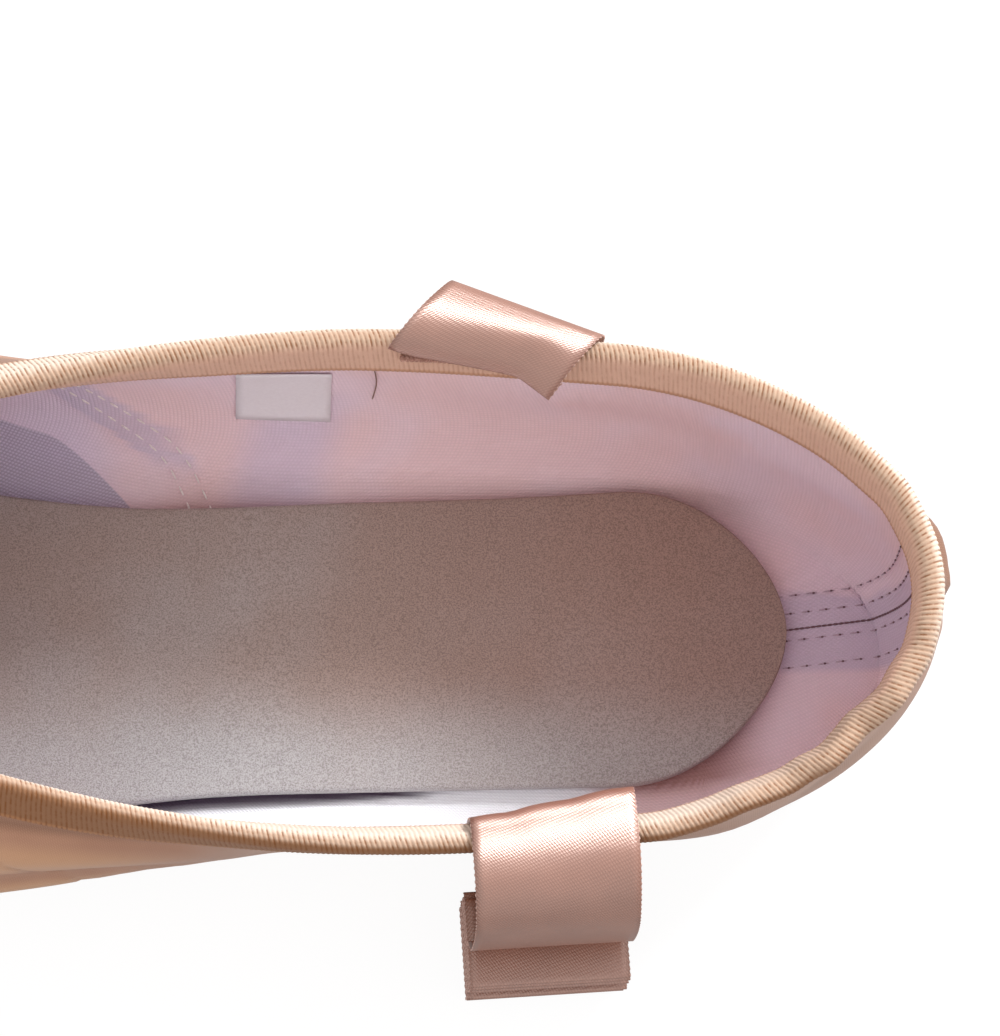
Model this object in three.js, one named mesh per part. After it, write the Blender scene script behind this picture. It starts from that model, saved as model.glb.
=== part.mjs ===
// Pointe shoe, laid up as its maker does: leather outsole, hollow satin upper with a stiff toe box,
// insole, ribbed collar binding and two satin ribbons. It is straight lasted, so it fits either foot.
// Millimetres. +X runs to the toe, +Y to the left side and +Z up from the floor.
// The origin is on the floor, under the centre of the heel.

import * as THREE from "three";
import { mergeVertices } from "three/addons/utils/BufferGeometryUtils.js";

// Driving dimensions
const LENGTH = 236; // heel curve to toe platform
const HEEL_CENTRE = 30; // heel curve to the origin
const GAP = 0.3; // clearance between neighbouring pieces

// Sole line
const SOLE_THICK = 3;
const SOLE_CHAMFER = 0.9;
const SOLE_MARGIN = 1; // the sole's edge lies this far inside the flat of the bottom
const SOLE_START = 10;
const SOLE_END = 208;
const SOLE_HEEL_ROUND = 20;
const SOLE_TOE_ROUND = 26;
const ARCH_START = 52;
const ARCH_END = 136;
const ARCH_RISE = 2;
const SOLE_WAIST = 4; // how much narrower the sole is than the bottom, at the arch
const TOE_SPRING_START = 186;
const TOE_SPRING = 3;

// Upper
const QUARTER_WALL = 1.6; // satin and cotton lining
const BOX_WALL = 3.2; // satin, paste-stiffened layers and lining
const BOX_WALL_START = 140;
const BOX_WALL_FULL = 190;
const HEEL_ROUND = 46; // length over which the heel rounds off in plan
const HEEL_BULGE_Z = 20; // height of the rearmost point of the heel curve
const HEEL_TOP_SETBACK = 3.5; // the heel curve leans in by this much at the topline
const HEEL_BASE_SETBACK = 6; // and tucks in by this much at the sole
const THROAT = 160; // heel curve to the front of the throat
const THROAT_ROUND_START = 104;
const TOE_EDGE_RADIUS = 4.2; // edge of the platform
const PLATFORM_TILT = 0.09; // the platform's lean towards the heel, as a slope
const PLATFORM_TILT_START = 200;
const OPENING_START = 15; // opening underneath, which the sole closes
const OPENING_END = 194;
const OPENING_MARGIN = 7; // width of the upper's edge that is turned in under the insole
const OPENING_END_ROUND = 24;
const LOWER_SIDE_POWER = 2; // superellipse power below the widest line
const UPPER_SIDE_POWER = 2.2; // and above it
const THROAT_POWER = 3; // superellipse power of the throat's round end
const SECTION_ROWS = 17; // points from the bottom of a half section to its topline
const SPAN_POINTS = 24;

// The last, a row for each section. flat is the half-width of the flat bottom, widest the largest
// half-width and widestZ its height. topHalf and topZ are the topline's half-width and height, and
// in front of the throat, where topHalf is rounded off to nothing, topZ is the crest of the vamp.
// flare is how far the soft quarters open outwards below the topline.
const LAST = [
  { along: 0, flat: 21, widest: 27.4, widestZ: 20, topHalf: 27.7, topZ: 48, flare: 2.4 },
  { along: 24, flat: 21.8, widest: 30, widestZ: 21, topHalf: 31.3, topZ: 43.4, flare: 3 },
  { along: 48, flat: 20.8, widest: 32.6, widestZ: 26, topHalf: 33.7, topZ: 41.8, flare: 2.4 },
  { along: 80, flat: 20.4, widest: 34.8, widestZ: 31, topHalf: 35.2, topZ: 41.8, flare: 1.2 },
  { along: 104, flat: 20.4, widest: 34.6, widestZ: 28, topHalf: 33.1, topZ: 42.6, flare: 0 },
  { along: 130, flat: 22.4, widest: 36.2, widestZ: 24, topHalf: 28.6, topZ: 44.4, flare: 0 },
  { along: 160, flat: 26, widest: 41, widestZ: 22.5, topHalf: 24, topZ: 48.6, flare: 0 },
  { along: 182, flat: 25, widest: 39.4, widestZ: 22, topHalf: 22, topZ: 46.7, flare: 0 },
  { along: 206, flat: 20.5, widest: 34, widestZ: 21, topHalf: 20, topZ: 42.4, flare: 0 },
  { along: 224, flat: 16.5, widest: 29, widestZ: 20, topHalf: 18, topZ: 37.5, flare: 0 },
  { along: 236, flat: 14, widest: 26.2, widestZ: 19.5, topHalf: 17, topZ: 33.4, flare: 0 },
];

// Insole
const INSOLE_THICK = 2.4;
const INSOLE_START = 19;
const INSOLE_END = 212;
const INSOLE_OVERLAP = 0.5; // it runs this far past the flat of the bottom, up the turn of the wall
const INSOLE_HEEL_ROUND = 24;
const INSOLE_TOE_ROUND = 24;

// Collar binding, a ribbed tape that wraps the topline over its drawstring casing
const BINDING_HALF = 2.2;
const BINDING_DEPTH = 4; // reach of the tape below the topline, on both faces
const BINDING_FLARE = 0.35; // the tape's lower edges stand off the wall by this much more,
const BINDING_THROAT_FLARE = 0.9; // and by this much where it crosses the vamp
const BINDING_ARC_STEPS = 6;

// Ribbons
const RIBBON_WIDTH = 22;
const RIBBON_THICK = 0.5;
const RIBBON_STEPS = 30;
const FOLDS_CORNER = 3; // rounding of a ribbon's stack of folds
const FOLDS_FLOOR_GAP = 0.3;

// Each ribbon is sewn inside the collar, passes over the binding and falls to its own stack of folds.
// side is +1 on the left, slant turns the ribbon towards the heel, and route gives the ribbon's line
// as distances out from the middle of the wall, with heights above the floor.
const RIBBONS = [
  {
    name: "ribbon_left",
    side: 1,
    along: 54.5,
    slantDeg: 4,
    route: [
      { out: -4.2, z: 31.5 },
      { out: -4.7, z: 38.5 },
      { out: -3.8, z: 43.2 },
      { out: -0.6, z: 45.6 },
      { out: 3.2, z: 45 },
      { out: 7.2, z: 42.2 },
      { out: 10, z: 38.8 },
      { out: 11.6, z: 34.6 },
      { out: 12, z: 29 },
      { out: 11.6, z: 23 },
      { out: 10.4, z: 16.6 },
    ],
    folds: { inner: 1.8, outer: 16.4, top: 16.2 },
  },
  {
    name: "ribbon_right",
    side: -1,
    along: 62,
    slantDeg: 17,
    route: [
      { out: -6.6, z: 37.5 },
      { out: -6.8, z: 41.5 },
      { out: -5.6, z: 44.6 },
      { out: -2.4, z: 46.4 },
      { out: 2, z: 46.9 },
      { out: 5.7, z: 45.5 },
      { out: 7.8, z: 42 },
      { out: 8.2, z: 36 },
      { out: 8, z: 26 },
      { out: 8, z: 16.6 },
    ],
    folds: { inner: 2, outer: 15.6, top: 16.2 },
  },
];

// Materials, from the photograph's colours
const SATIN = { color: 0xe3b9a4, roughness: 0.42, metalness: 0 };
const TAPE = { color: 0xe6c3a6, roughness: 0.7, metalness: 0 };
const RIBBON = { color: 0xe2bcb2, roughness: 0.35, metalness: 0 };
const SUEDE = { color: 0xa8948a, roughness: 0.95, metalness: 0 };
const LEATHER = { color: 0xb08a66, roughness: 0.8, metalness: 0 };

// Curves and tables

// A cubic through a table's column, with each row's slope taken from its two neighbours.
function column(table, name, along) {
  const top = table.length - 1;
  let i = table.findIndex((row) => row.along > along) - 1;
  if (i < 0) i = top - 1;
  const slope = (k) => {
    const a = table[Math.max(k - 1, 0)];
    const b = table[Math.min(k + 1, top)];
    return (b[name] - a[name]) / (b.along - a.along);
  };
  const [from, to] = [table[i], table[i + 1]];
  const span = to.along - from.along;
  const t = (along - from.along) / span;
  const [t2, t3] = [t * t, t * t * t];
  return (
    from[name] * (2 * t3 - 3 * t2 + 1) +
    to[name] * (3 * t2 - 2 * t3) +
    span * (slope(i) * (t3 - 2 * t2 + t) + slope(i + 1) * (t3 - t2))
  );
}

// 1 at a rounded end's root and 0 at its tip, along a superellipse.
function rounded(share, power = 2) {
  const s = THREE.MathUtils.clamp(share, 0, 1);
  return (1 - s ** power) ** (1 / power);
}

// Rounds off both ends of a plan outline.
function endRound(along, start, startRound, end, endRoundLength) {
  const heel = rounded((start + startRound - along) / startRound);
  const toe = rounded((along - end + endRoundLength) / endRoundLength);
  return heel * toe;
}

// Steps from one station to the next: shape 1 is even, more crowds the start, less crowds the end.
function spread(from, to, steps, shape = 1) {
  return Array.from({ length: steps }, (_, k) => from + (to - from) * (k / steps) ** shape);
}

// The last

// 0 at heel and forefoot, rising to 1 in the middle of the arch.
function archShare(along) {
  const share = THREE.MathUtils.clamp((along - ARCH_START) / (ARCH_END - ARCH_START), 0, 1);
  return Math.sin(Math.PI * share) ** 2;
}

// Height of the sole line above its flat spots at heel and forefoot.
function rise(along) {
  const spring = Math.max(0, along - TOE_SPRING_START) / (LENGTH - TOE_SPRING_START);
  return ARCH_RISE * archShare(along) + TOE_SPRING * spring ** 2;
}

const baseZ = (along) => SOLE_THICK + GAP + rise(along);

function wallThickness(along) {
  return THREE.MathUtils.mapLinear(
    THREE.MathUtils.smoothstep(along, BOX_WALL_START, BOX_WALL_FULL), 0, 1, QUARTER_WALL, BOX_WALL,
  );
}

// How far the platform's rounded edge draws the whole section in.
function toeInset(along) {
  const run = Math.max(0, along - (LENGTH - TOE_EDGE_RADIUS));
  return TOE_EDGE_RADIUS - Math.sqrt(Math.max(0, TOE_EDGE_RADIUS ** 2 - run ** 2));
}

const heelRound = (along) => rounded(1 - along / HEEL_ROUND);

// Lean of the heel curve and of the platform, as a shift along the shoe.
function lean(along, z) {
  const heelFade = Math.max(0, 1 - along / HEEL_ROUND) ** 2;
  const reach = z < HEEL_BULGE_Z ? HEEL_BULGE_Z : LAST[0].topZ - HEEL_BULGE_Z;
  const setback = z < HEEL_BULGE_Z ? HEEL_BASE_SETBACK : HEEL_TOP_SETBACK;
  const heel = setback * ((z - HEEL_BULGE_Z) / reach) ** 2;
  const toeFade = THREE.MathUtils.smoothstep(along, PLATFORM_TILT_START, LENGTH);
  return heel * heelFade - PLATFORM_TILT * (z - baseZ(LENGTH)) * toeFade;
}

function toplineHalf(along) {
  const half = column(LAST, "topHalf", along);
  return half * rounded((along - THROAT_ROUND_START) / (THROAT - THROAT_ROUND_START), THROAT_POWER);
}

const isOpenBelow = (along) => along > OPENING_START && along < OPENING_END;

function openingHalf(along) {
  const half = column(LAST, "flat", along) * heelRound(along) - OPENING_MARGIN;
  return half * endRound(along, OPENING_START, OPENING_END_ROUND, OPENING_END, OPENING_END_ROUND);
}

// Half a section as (half-width, height), from the opening underneath, or from the middle of the
// bottom, round the widest line to the topline, or to the crest of the vamp.
function halfSection(along) {
  const inset = toeInset(along);
  const base = baseZ(along) + inset;
  const flat = column(LAST, "flat", along);
  const widest = column(LAST, "widest", along) - inset;
  const widestZ = column(LAST, "widestZ", along);
  const topZ = column(LAST, "topZ", along) - inset;
  const start = isOpenBelow(along) ? openingHalf(along) / heelRound(along) : 0;
  const flare = Math.max(0, column(LAST, "flare", along));
  const topShare = along < THROAT ? (toplineHalf(along) - flare) / widest : 0;
  const topRise = (1 - topShare ** UPPER_SIDE_POWER) ** (1 / UPPER_SIDE_POWER);
  const instep = widestZ + (topZ - widestZ) / topRise;
  const topAngle = Math.asin(topRise ** (UPPER_SIDE_POWER / 2));

  const points = [];
  for (let k = 0; k < SPAN_POINTS; k++) {
    points.push(new THREE.Vector2(start + ((flat - start) * k) / SPAN_POINTS, base));
  }
  for (let k = 0; k < SPAN_POINTS; k++) {
    const angle = ((Math.PI / 2) * k) / SPAN_POINTS;
    const out = Math.sin(angle) ** (2 / LOWER_SIDE_POWER);
    const down = Math.cos(angle) ** (2 / LOWER_SIDE_POWER);
    points.push(new THREE.Vector2(flat + (widest - flat) * out, widestZ - (widestZ - base) * down));
  }
  for (let k = 0; k <= SPAN_POINTS; k++) {
    const angle = (topAngle * k) / SPAN_POINTS;
    const out = Math.max(0, Math.cos(angle)) ** (2 / UPPER_SIDE_POWER);
    const up = Math.sin(angle) ** (2 / UPPER_SIDE_POWER);
    const z = widestZ + (instep - widestZ) * up;
    const opened = flare * ((z - widestZ) / (topZ - widestZ)) ** 2;
    points.push(new THREE.Vector2(widest * out + opened, z));
  }
  points[points.length - 1].set(widest * topShare + flare, topZ);
  return points.map((p) => p.setX(p.x * heelRound(along)));
}

// Points at equal steps along a line of points.
function evenPoints(points, count) {
  const run = [0];
  for (let k = 1; k < points.length; k++) run.push(run[k - 1] + points[k].distanceTo(points[k - 1]));
  const total = run[run.length - 1];
  let k = 1;
  return Array.from({ length: count }, (_, n) => {
    const target = (total * n) / (count - 1);
    while (k < points.length - 1 && run[k] < target) k++;
    const share = run[k] > run[k - 1] ? (target - run[k - 1]) / (run[k] - run[k - 1]) : 0;
    return points[k - 1].clone().lerp(points[k], Math.min(1, share));
  });
}

const STATIONS = [
  ...spread(0, OPENING_START, 5, 2),
  ...spread(OPENING_START, HEEL_ROUND, 7, 1.5),
  ...spread(HEEL_ROUND, THROAT_ROUND_START, 7),
  ...spread(THROAT_ROUND_START, THROAT, 10, 0.6),
  ...spread(THROAT, OPENING_END, 7, 1.3),
  ...spread(OPENING_END, LENGTH - TOE_EDGE_RADIUS, 5),
  ...spread(LENGTH - TOE_EDGE_RADIUS, LENGTH, 4, 0.7),
  LENGTH,
];

const mirrored = (p) => new THREE.Vector3(p.x, -p.y, p.z);

function placed(along, section) {
  return new THREE.Vector3(along - HEEL_CENTRE + lean(along, section.y), section.x, section.y);
}

const OUTER = STATIONS.map((along) =>
  evenPoints(halfSection(along), SECTION_ROWS).map((p) => placed(along, p)),
);

// The middle of the platform closes the toe.
const PLATFORM_CENTRE = (() => {
  const ring = OUTER[OUTER.length - 1];
  const middle = ring[0].clone().add(ring[SECTION_ROWS - 1]).multiplyScalar(0.5);
  return middle.setY(0);
})();

// The wall's inner face lies one wall thickness in from the outer one, along its normal.
const INNER = OUTER.map((ring, i) =>
  ring.map((p, j) => {
    const atToe = i === OUTER.length - 1;
    const before = i > 0 ? OUTER[i - 1][j] : mirrored(OUTER[1][j]);
    const after = atToe ? PLATFORM_CENTRE : OUTER[i + 1][j];
    const lowest = i > 0 && !isOpenBelow(STATIONS[i]) ? mirrored(ring[1]) : p;
    const highest = STATIONS[i] < THROAT ? p : mirrored(ring[j - 1] ?? p);
    const below = ring[j - 1] ?? lowest;
    const above = ring[j + 1] ?? highest;
    const inward = after.clone().sub(atToe ? p : before).cross(above.clone().sub(below)).normalize();
    if (Math.abs(p.y) < 1e-6) inward.setY(0).normalize();
    return p.clone().addScaledVector(inward, wallThickness(STATIONS[i]));
  }),
);

// Mesh helpers

// A closed surface, gathered as triangles of points.
class Skin {
  constructor() {
    this.corners = [];
  }
  triangle(a, b, c) {
    this.corners.push(a, b, c);
  }
  quad(a, b, c, d) {
    this.triangle(a, b, c);
    this.triangle(a, c, d);
  }
  // The same quad on both sides of the shoe.
  pair(a, b, c, d) {
    this.quad(a, b, c, d);
    this.quad(...[a, d, c, b].map(mirrored));
  }
  geometry() {
    const loose = new THREE.BufferGeometry().setFromPoints(this.corners);
    const merged = mergeVertices(loose, 1e-4);
    const index = merged.index.array;
    const kept = [];
    for (let k = 0; k < index.length; k += 3) {
      const [a, b, c] = index.slice(k, k + 3);
      if (a !== b && b !== c && c !== a) kept.push(a, b, c);
    }
    merged.setIndex(kept);
    merged.computeVertexNormals();
    return merged;
  }
}

// A closed solid skinned over rings with the same number of points, pinched shut at both ends.
function skinned(rings) {
  const skin = new Skin();
  for (let i = 0; i < rings.length - 1; i++) {
    const [from, to] = [rings[i], rings[i + 1]];
    from.forEach((point, j) => {
      const next = (j + 1) % from.length;
      skin.quad(point, from[next], to[next], to[j]);
    });
  }
  return skin.geometry();
}

// Pieces

function piece(name, geometry, material) {
  const mesh = new THREE.Mesh(geometry, new THREE.MeshStandardMaterial(material));
  mesh.name = name;
  return mesh;
}

function makeUpper() {
  const skin = new Skin();
  const top = SECTION_ROWS - 1;
  for (let i = 0; i < STATIONS.length - 1; i++) {
    const [out, outNext] = [OUTER[i], OUTER[i + 1]];
    const [inn, innNext] = [INNER[i], INNER[i + 1]];
    for (let j = 0; j < top; j++) {
      skin.pair(out[j], out[j + 1], outNext[j + 1], outNext[j]);
      skin.pair(inn[j], innNext[j], innNext[j + 1], inn[j + 1]);
    }
    if (STATIONS[i] < THROAT) skin.pair(out[top], inn[top], innNext[top], outNext[top]);
    if (STATIONS[i] >= OPENING_START && STATIONS[i] < OPENING_END) {
      skin.pair(out[0], outNext[0], innNext[0], inn[0]);
    }
  }
  const [out, inn] = [OUTER[OUTER.length - 1], INNER[INNER.length - 1]];
  const innerCentre = PLATFORM_CENTRE.clone();
  innerCentre.x -= BOX_WALL;
  for (let j = 0; j < top; j++) {
    skin.pair(out[j], out[j + 1], PLATFORM_CENTRE, PLATFORM_CENTRE);
    skin.pair(inn[j], innerCentre, innerCentre, inn[j + 1]);
  }
  return piece("upper", skin.geometry(), SATIN);
}

// A plate that follows the sole line, with a rounded heel and toe and a chamfer under its edge.
function plate(start, end, steps, halfAt, bottomAt, thick, chamfer) {
  const alongs = Array.from({ length: steps + 1 }, (_, k) => {
    const ease = (1 - Math.cos((Math.PI * k) / steps)) / 2;
    return start + (end - start) * ease;
  });
  const rings = alongs.map((along) => {
    const half = halfAt(along);
    const cut = Math.min(chamfer, half);
    const bottom = bottomAt(along);
    const x = along - HEEL_CENTRE;
    return [
      new THREE.Vector3(x, half - cut, bottom),
      new THREE.Vector3(x, half, bottom + chamfer),
      new THREE.Vector3(x, half, bottom + thick),
      new THREE.Vector3(x, -half, bottom + thick),
      new THREE.Vector3(x, -half, bottom + chamfer),
      new THREE.Vector3(x, cut - half, bottom),
    ];
  });
  return skinned(rings);
}

function makeOutsole() {
  const halfAt = (along) =>
    (column(LAST, "flat", along) - SOLE_MARGIN - SOLE_WAIST * archShare(along)) *
    endRound(along, SOLE_START, SOLE_HEEL_ROUND, SOLE_END, SOLE_TOE_ROUND);
  const geometry = plate(SOLE_START, SOLE_END, 48, halfAt, rise, SOLE_THICK, SOLE_CHAMFER);
  return piece("outsole", geometry, LEATHER);
}

function makeInsole() {
  const halfAt = (along) =>
    (column(LAST, "flat", along) * heelRound(along) + INSOLE_OVERLAP) *
    endRound(along, INSOLE_START, INSOLE_HEEL_ROUND, INSOLE_END, INSOLE_TOE_ROUND);
  const bottomAt = (along) => baseZ(along) + wallThickness(along) + GAP;
  const geometry = plate(
    INSOLE_START, INSOLE_END, 40, halfAt, bottomAt, INSOLE_THICK, INSOLE_THICK / 2,
  );
  return piece("insole", geometry, SUEDE);
}

// Section of the binding, an arch with a slot for the wall, at one point of the topline.
function bindingRing(i, last) {
  const top = SECTION_ROWS - 1;
  const middle = (k) => OUTER[k][top].clone().add(INNER[k][top]).multiplyScalar(0.5);
  const here = middle(i);
  const before = i > 0 ? middle(i - 1) : mirrored(middle(1));
  const after = i < last ? middle(i + 1) : mirrored(middle(last - 1));
  const lateral = OUTER[i][top].clone().sub(INNER[i][top]).normalize();
  const up = after.sub(before).cross(lateral).normalize();
  const slot = wallThickness(STATIONS[i]) / 2 + GAP;
  const vampShare = THREE.MathUtils.smoothstep(STATIONS[i], THROAT_ROUND_START, THROAT);
  const flare = THREE.MathUtils.lerp(BINDING_FLARE, BINDING_THROAT_FLARE, vampShare);
  const at = (across, height) =>
    here.clone().addScaledVector(lateral, across).addScaledVector(up, height);
  const arch = Array.from({ length: BINDING_ARC_STEPS + 1 }, (_, k) => {
    const angle = (Math.PI * k) / BINDING_ARC_STEPS;
    return at(BINDING_HALF * Math.cos(angle), GAP + BINDING_HALF * Math.sin(angle));
  });
  return [
    at(slot + flare, -BINDING_DEPTH),
    at(BINDING_HALF + flare, -BINDING_DEPTH),
    ...arch,
    at(-BINDING_HALF - flare, -BINDING_DEPTH),
    at(-slot - flare, -BINDING_DEPTH),
    at(-slot, GAP),
    at(slot, GAP),
  ];
}

function makeBinding() {
  const skin = new Skin();
  const last = STATIONS.indexOf(THROAT);
  const rings = STATIONS.slice(0, last + 1).map((_, i) => bindingRing(i, last));
  for (let i = 0; i < last; i++) {
    const [from, to] = [rings[i], rings[i + 1]];
    from.forEach((point, j) => {
      const next = (j + 1) % from.length;
      skin.pair(point, from[next], to[next], to[j]);
    });
  }
  return piece("collar_binding", skin.geometry(), TAPE);
}

// Outline of a strip of even thickness along a line.
function stripShape(line, thick) {
  const normals = line.map((p, k) => {
    const tangent = line[Math.min(k + 1, line.length - 1)].clone().sub(line[Math.max(k - 1, 0)]);
    return new THREE.Vector2(-tangent.y, tangent.x).normalize();
  });
  const side = (share) => line.map((p, k) => p.clone().addScaledVector(normals[k], thick * share));
  return new THREE.Shape([...side(0.5), ...side(-0.5).reverse()]);
}

function roundedBlock(inner, outer, bottom, top, radius) {
  const shape = new THREE.Shape();
  shape.absarc(outer - radius, bottom + radius, radius, -Math.PI / 2, 0);
  shape.absarc(outer - radius, top - radius, radius, 0, Math.PI / 2);
  shape.absarc(inner + radius, top - radius, radius, Math.PI / 2, Math.PI);
  shape.absarc(inner + radius, bottom + radius, radius, Math.PI, 1.5 * Math.PI);
  return shape;
}

// A shape drawn as (out, up), given the ribbon's width and set upright.
function acrossRibbon(shape) {
  const settings = { depth: RIBBON_WIDTH, bevelEnabled: false, curveSegments: 4 };
  const geometry = new THREE.ExtrudeGeometry(shape, settings);
  return geometry.translate(0, 0, -RIBBON_WIDTH / 2).rotateX(Math.PI / 2);
}

function makeRibbon({ name, side, along, slantDeg, route, folds }) {
  const line = new THREE.SplineCurve(route.map(({ out, z }) => new THREE.Vector2(out, z)));
  const strip = stripShape(line.getPoints(RIBBON_STEPS), RIBBON_THICK);
  const stack = roundedBlock(folds.inner, folds.outer, FOLDS_FLOOR_GAP, folds.top, FOLDS_CORNER);
  const group = new THREE.Group();
  group.add(piece(name, acrossRibbon(strip), RIBBON));
  group.add(piece(`${name}_folds`, acrossRibbon(stack), RIBBON));
  const wallMiddle = toplineHalf(along) * heelRound(along) - wallThickness(along) / 2;
  group.position.set(along - HEEL_CENTRE, side * wallMiddle, 0);
  group.rotation.z = side * (Math.PI / 2 + THREE.MathUtils.degToRad(slantDeg));
  return group;
}

const shoe = new THREE.Group();
shoe.add(makeOutsole(), makeUpper(), makeInsole(), makeBinding());
RIBBONS.forEach((ribbon) => shoe.add(makeRibbon(ribbon)));

export default shoe;
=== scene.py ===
"""Looks of a satin pointe shoe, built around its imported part.

Lengths in the tables are millimetres, measured along the shoe from the back of the heel.
The left side of the shoe is +Y and the toe is +X.
"""

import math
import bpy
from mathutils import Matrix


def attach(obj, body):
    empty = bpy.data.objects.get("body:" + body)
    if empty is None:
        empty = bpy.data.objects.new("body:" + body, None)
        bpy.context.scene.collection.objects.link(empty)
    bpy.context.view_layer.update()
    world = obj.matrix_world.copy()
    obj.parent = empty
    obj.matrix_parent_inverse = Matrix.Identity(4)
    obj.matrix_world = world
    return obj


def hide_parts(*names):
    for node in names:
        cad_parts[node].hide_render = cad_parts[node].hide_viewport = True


bl_info = {
    "name": "Pointe Shoe",
    "version": (1, 0, 0),
    "blender": (4, 5, 0),
    "location": "View3D > Sidebar > Pointe Shoe",
    "description": "Builds a satin pointe shoe with its lining, binding, ribbons and stitching",
    "category": "Object",
}

import bpy
import numpy as np
from bpy.props import FloatProperty, FloatVectorProperty, PointerProperty
from mathutils import Matrix, Vector

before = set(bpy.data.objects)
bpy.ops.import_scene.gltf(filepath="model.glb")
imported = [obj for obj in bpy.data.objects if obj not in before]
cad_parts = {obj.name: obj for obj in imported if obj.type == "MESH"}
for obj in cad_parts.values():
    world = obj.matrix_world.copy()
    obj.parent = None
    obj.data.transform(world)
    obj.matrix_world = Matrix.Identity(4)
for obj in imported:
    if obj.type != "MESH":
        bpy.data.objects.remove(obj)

MM = 0.001
GAP = 0.3
HEEL_CENTRE = 30.0

# The last, as in the part: sole line, wall and sections.
LENGTH = 236.0
SOLE_THICK = 3.0
ARCH_START, ARCH_END, ARCH_RISE = 52.0, 136.0, 2.0
SPRING_START, SPRING_RISE = 186.0, 3.0
QUARTER_WALL, BOX_WALL = 1.6, 3.2
BOX_WALL_START, BOX_WALL_FULL = 140.0, 190.0
HEEL_ROUND, HEEL_BULGE_Z = 46.0, 20.0
HEEL_TOP_SETBACK, HEEL_BASE_SETBACK = 3.5, 6.0
THROAT, THROAT_ROUND_START, THROAT_POWER = 160.0, 104.0, 3
TOE_RADIUS = 4.2
PLATFORM_TILT, PLATFORM_TILT_START = 0.09, 200.0
OPENING_START, OPENING_END = 30.0, 194.0
OPENING_MARGIN, OPENING_ROUND = 7.0, 24.0
UPPER_POWER = 2.2
COLUMNS = ("along", "flat", "widest", "widest_z", "top_half", "top_z", "flare")
LAST = np.array(
    (
        (0, 21.0, 27.4, 20.0, 27.7, 48.0, 2.4),
        (24, 21.8, 30.0, 21.0, 31.3, 43.4, 3.0),
        (48, 20.8, 32.6, 26.0, 33.7, 41.8, 2.4),
        (80, 20.4, 34.8, 31.0, 35.2, 41.8, 1.2),
        (104, 20.4, 34.6, 28.0, 33.1, 42.6, 0.0),
        (130, 22.4, 36.2, 24.0, 28.6, 44.4, 0.0),
        (160, 26.0, 41.0, 22.5, 24.0, 48.6, 0.0),
        (182, 25.0, 39.4, 22.0, 22.0, 46.7, 0.0),
        (206, 20.5, 34.0, 21.0, 20.0, 42.4, 0.0),
        (224, 16.5, 29.0, 20.0, 18.0, 37.5, 0.0),
        (236, 14.0, 26.2, 19.5, 17.0, 33.4, 0.0),
    )
)

# Sole and insole plates: start, end, heel round, toe round.
SOLE_SPAN = (10.0, 208.0, 20.0, 26.0)
SOLE_MARGIN, SOLE_WAIST = 1.0, 4.0
INSOLE_SPAN = (19.0, 212.0, 24.0, 24.0)
INSOLE_OVERLAP, INSOLE_THICK = 0.5, 2.4
SWAY, SWAY_MIDDLE, SWAY_END, SWAY_GONE = 0.05, 74.0, 112.0, 180.0

# Seams and zones of the lining, as distances along the shoe and below the topline.
SEAM_DEPTHS = (0.0, 14.0, 24.0, 28.0, 31.5, 34.0, 38.0, 45.0, 60.0)
SEAM_ALONG = (138.0, 128.0, 119.0, 115.0, 110.8, 107.8, 105.2, 102.4, 98.0)
SEAM_BAND = (-2.4, 4.4)
SEAM_ROWS = (-1.5, 1.5)
WING_DEPTH, WING_CORNER = 37.3, 123.8
WING_FALL, WING_REACH, WING_POWER = 2.6, 4.3, 1.3
TAPE_MIDDLE = -3.6
TAPE_BAND = (-8.6, 2.3)
TAPE_ROWS = (-8.2, -5.8, -2.1, 1.8)
TAPE_END = 32.0
TAPE_SLANT = (-1.4, 0.8)

# The left quarter sinks in a little between these places, and creases stay within the wall.
SUNK_SPAN, SUNK_DEPTH = (36.0, 96.0, 9.0), 2.4
# The weight after the crease depth is the painted shade on the gathered satin at the back of the
# heel.
CREASE_DEPTH, GATHER_SHADE = 0.8, 3.2


# Shapes of the last


def column(name, along):
    """A cubic through one column of the last, with slopes from the neighbouring rows."""
    x, y = LAST[:, 0], LAST[:, COLUMNS.index(name)]
    rows = np.arange(len(x))
    low, high = np.maximum(rows - 1, 0), np.minimum(rows + 1, len(x) - 1)
    slope = (y[high] - y[low]) / (x[high] - x[low])
    i = np.clip(np.searchsorted(x, along, "right") - 1, 0, len(x) - 2)
    span = x[i + 1] - x[i]
    t = (along - x[i]) / span
    ends = y[i] * (2 * t**3 - 3 * t**2 + 1) + y[i + 1] * (3 * t**2 - 2 * t**3)
    return ends + span * (slope[i] * (t**3 - 2 * t**2 + t) + slope[i + 1] * (t**3 - t**2))


def smooth(value, low, high):
    """0 before low and 1 after high, with a soft step between them."""
    t = np.clip((value - low) / (high - low), 0, 1)
    return t * t * (3 - 2 * t)


def rounded(share, power=2):
    """1 at the root of a rounded end and 0 at its tip."""
    return (1 - np.clip(share, 0, 1) ** power) ** (1 / power)


def end_round(along, start, end, heel_round, toe_round):
    """Share of a plate's width that its rounded ends leave."""
    heel = rounded((start + heel_round - along) / heel_round)
    return heel * rounded((along - end + toe_round) / toe_round)


def arch_share(along):
    """1 in the middle of the arch and 0 at its ends."""
    share = np.clip((along - ARCH_START) / (ARCH_END - ARCH_START), 0, 1)
    return np.sin(np.pi * share) ** 2


def rise(along):
    """Height of the outsole's underside above the floor."""
    spring = np.maximum(0, along - SPRING_START) / (LENGTH - SPRING_START)
    return ARCH_RISE * arch_share(along) + SPRING_RISE * spring**2


def base_z(along):
    """Height of the upper's underside."""
    return SOLE_THICK + GAP + rise(along)


def wall_thickness(along):
    """Thickness of the wall, from the soft quarters to the stiff box."""
    return QUARTER_WALL + (BOX_WALL - QUARTER_WALL) * smooth(along, BOX_WALL_START, BOX_WALL_FULL)


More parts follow.
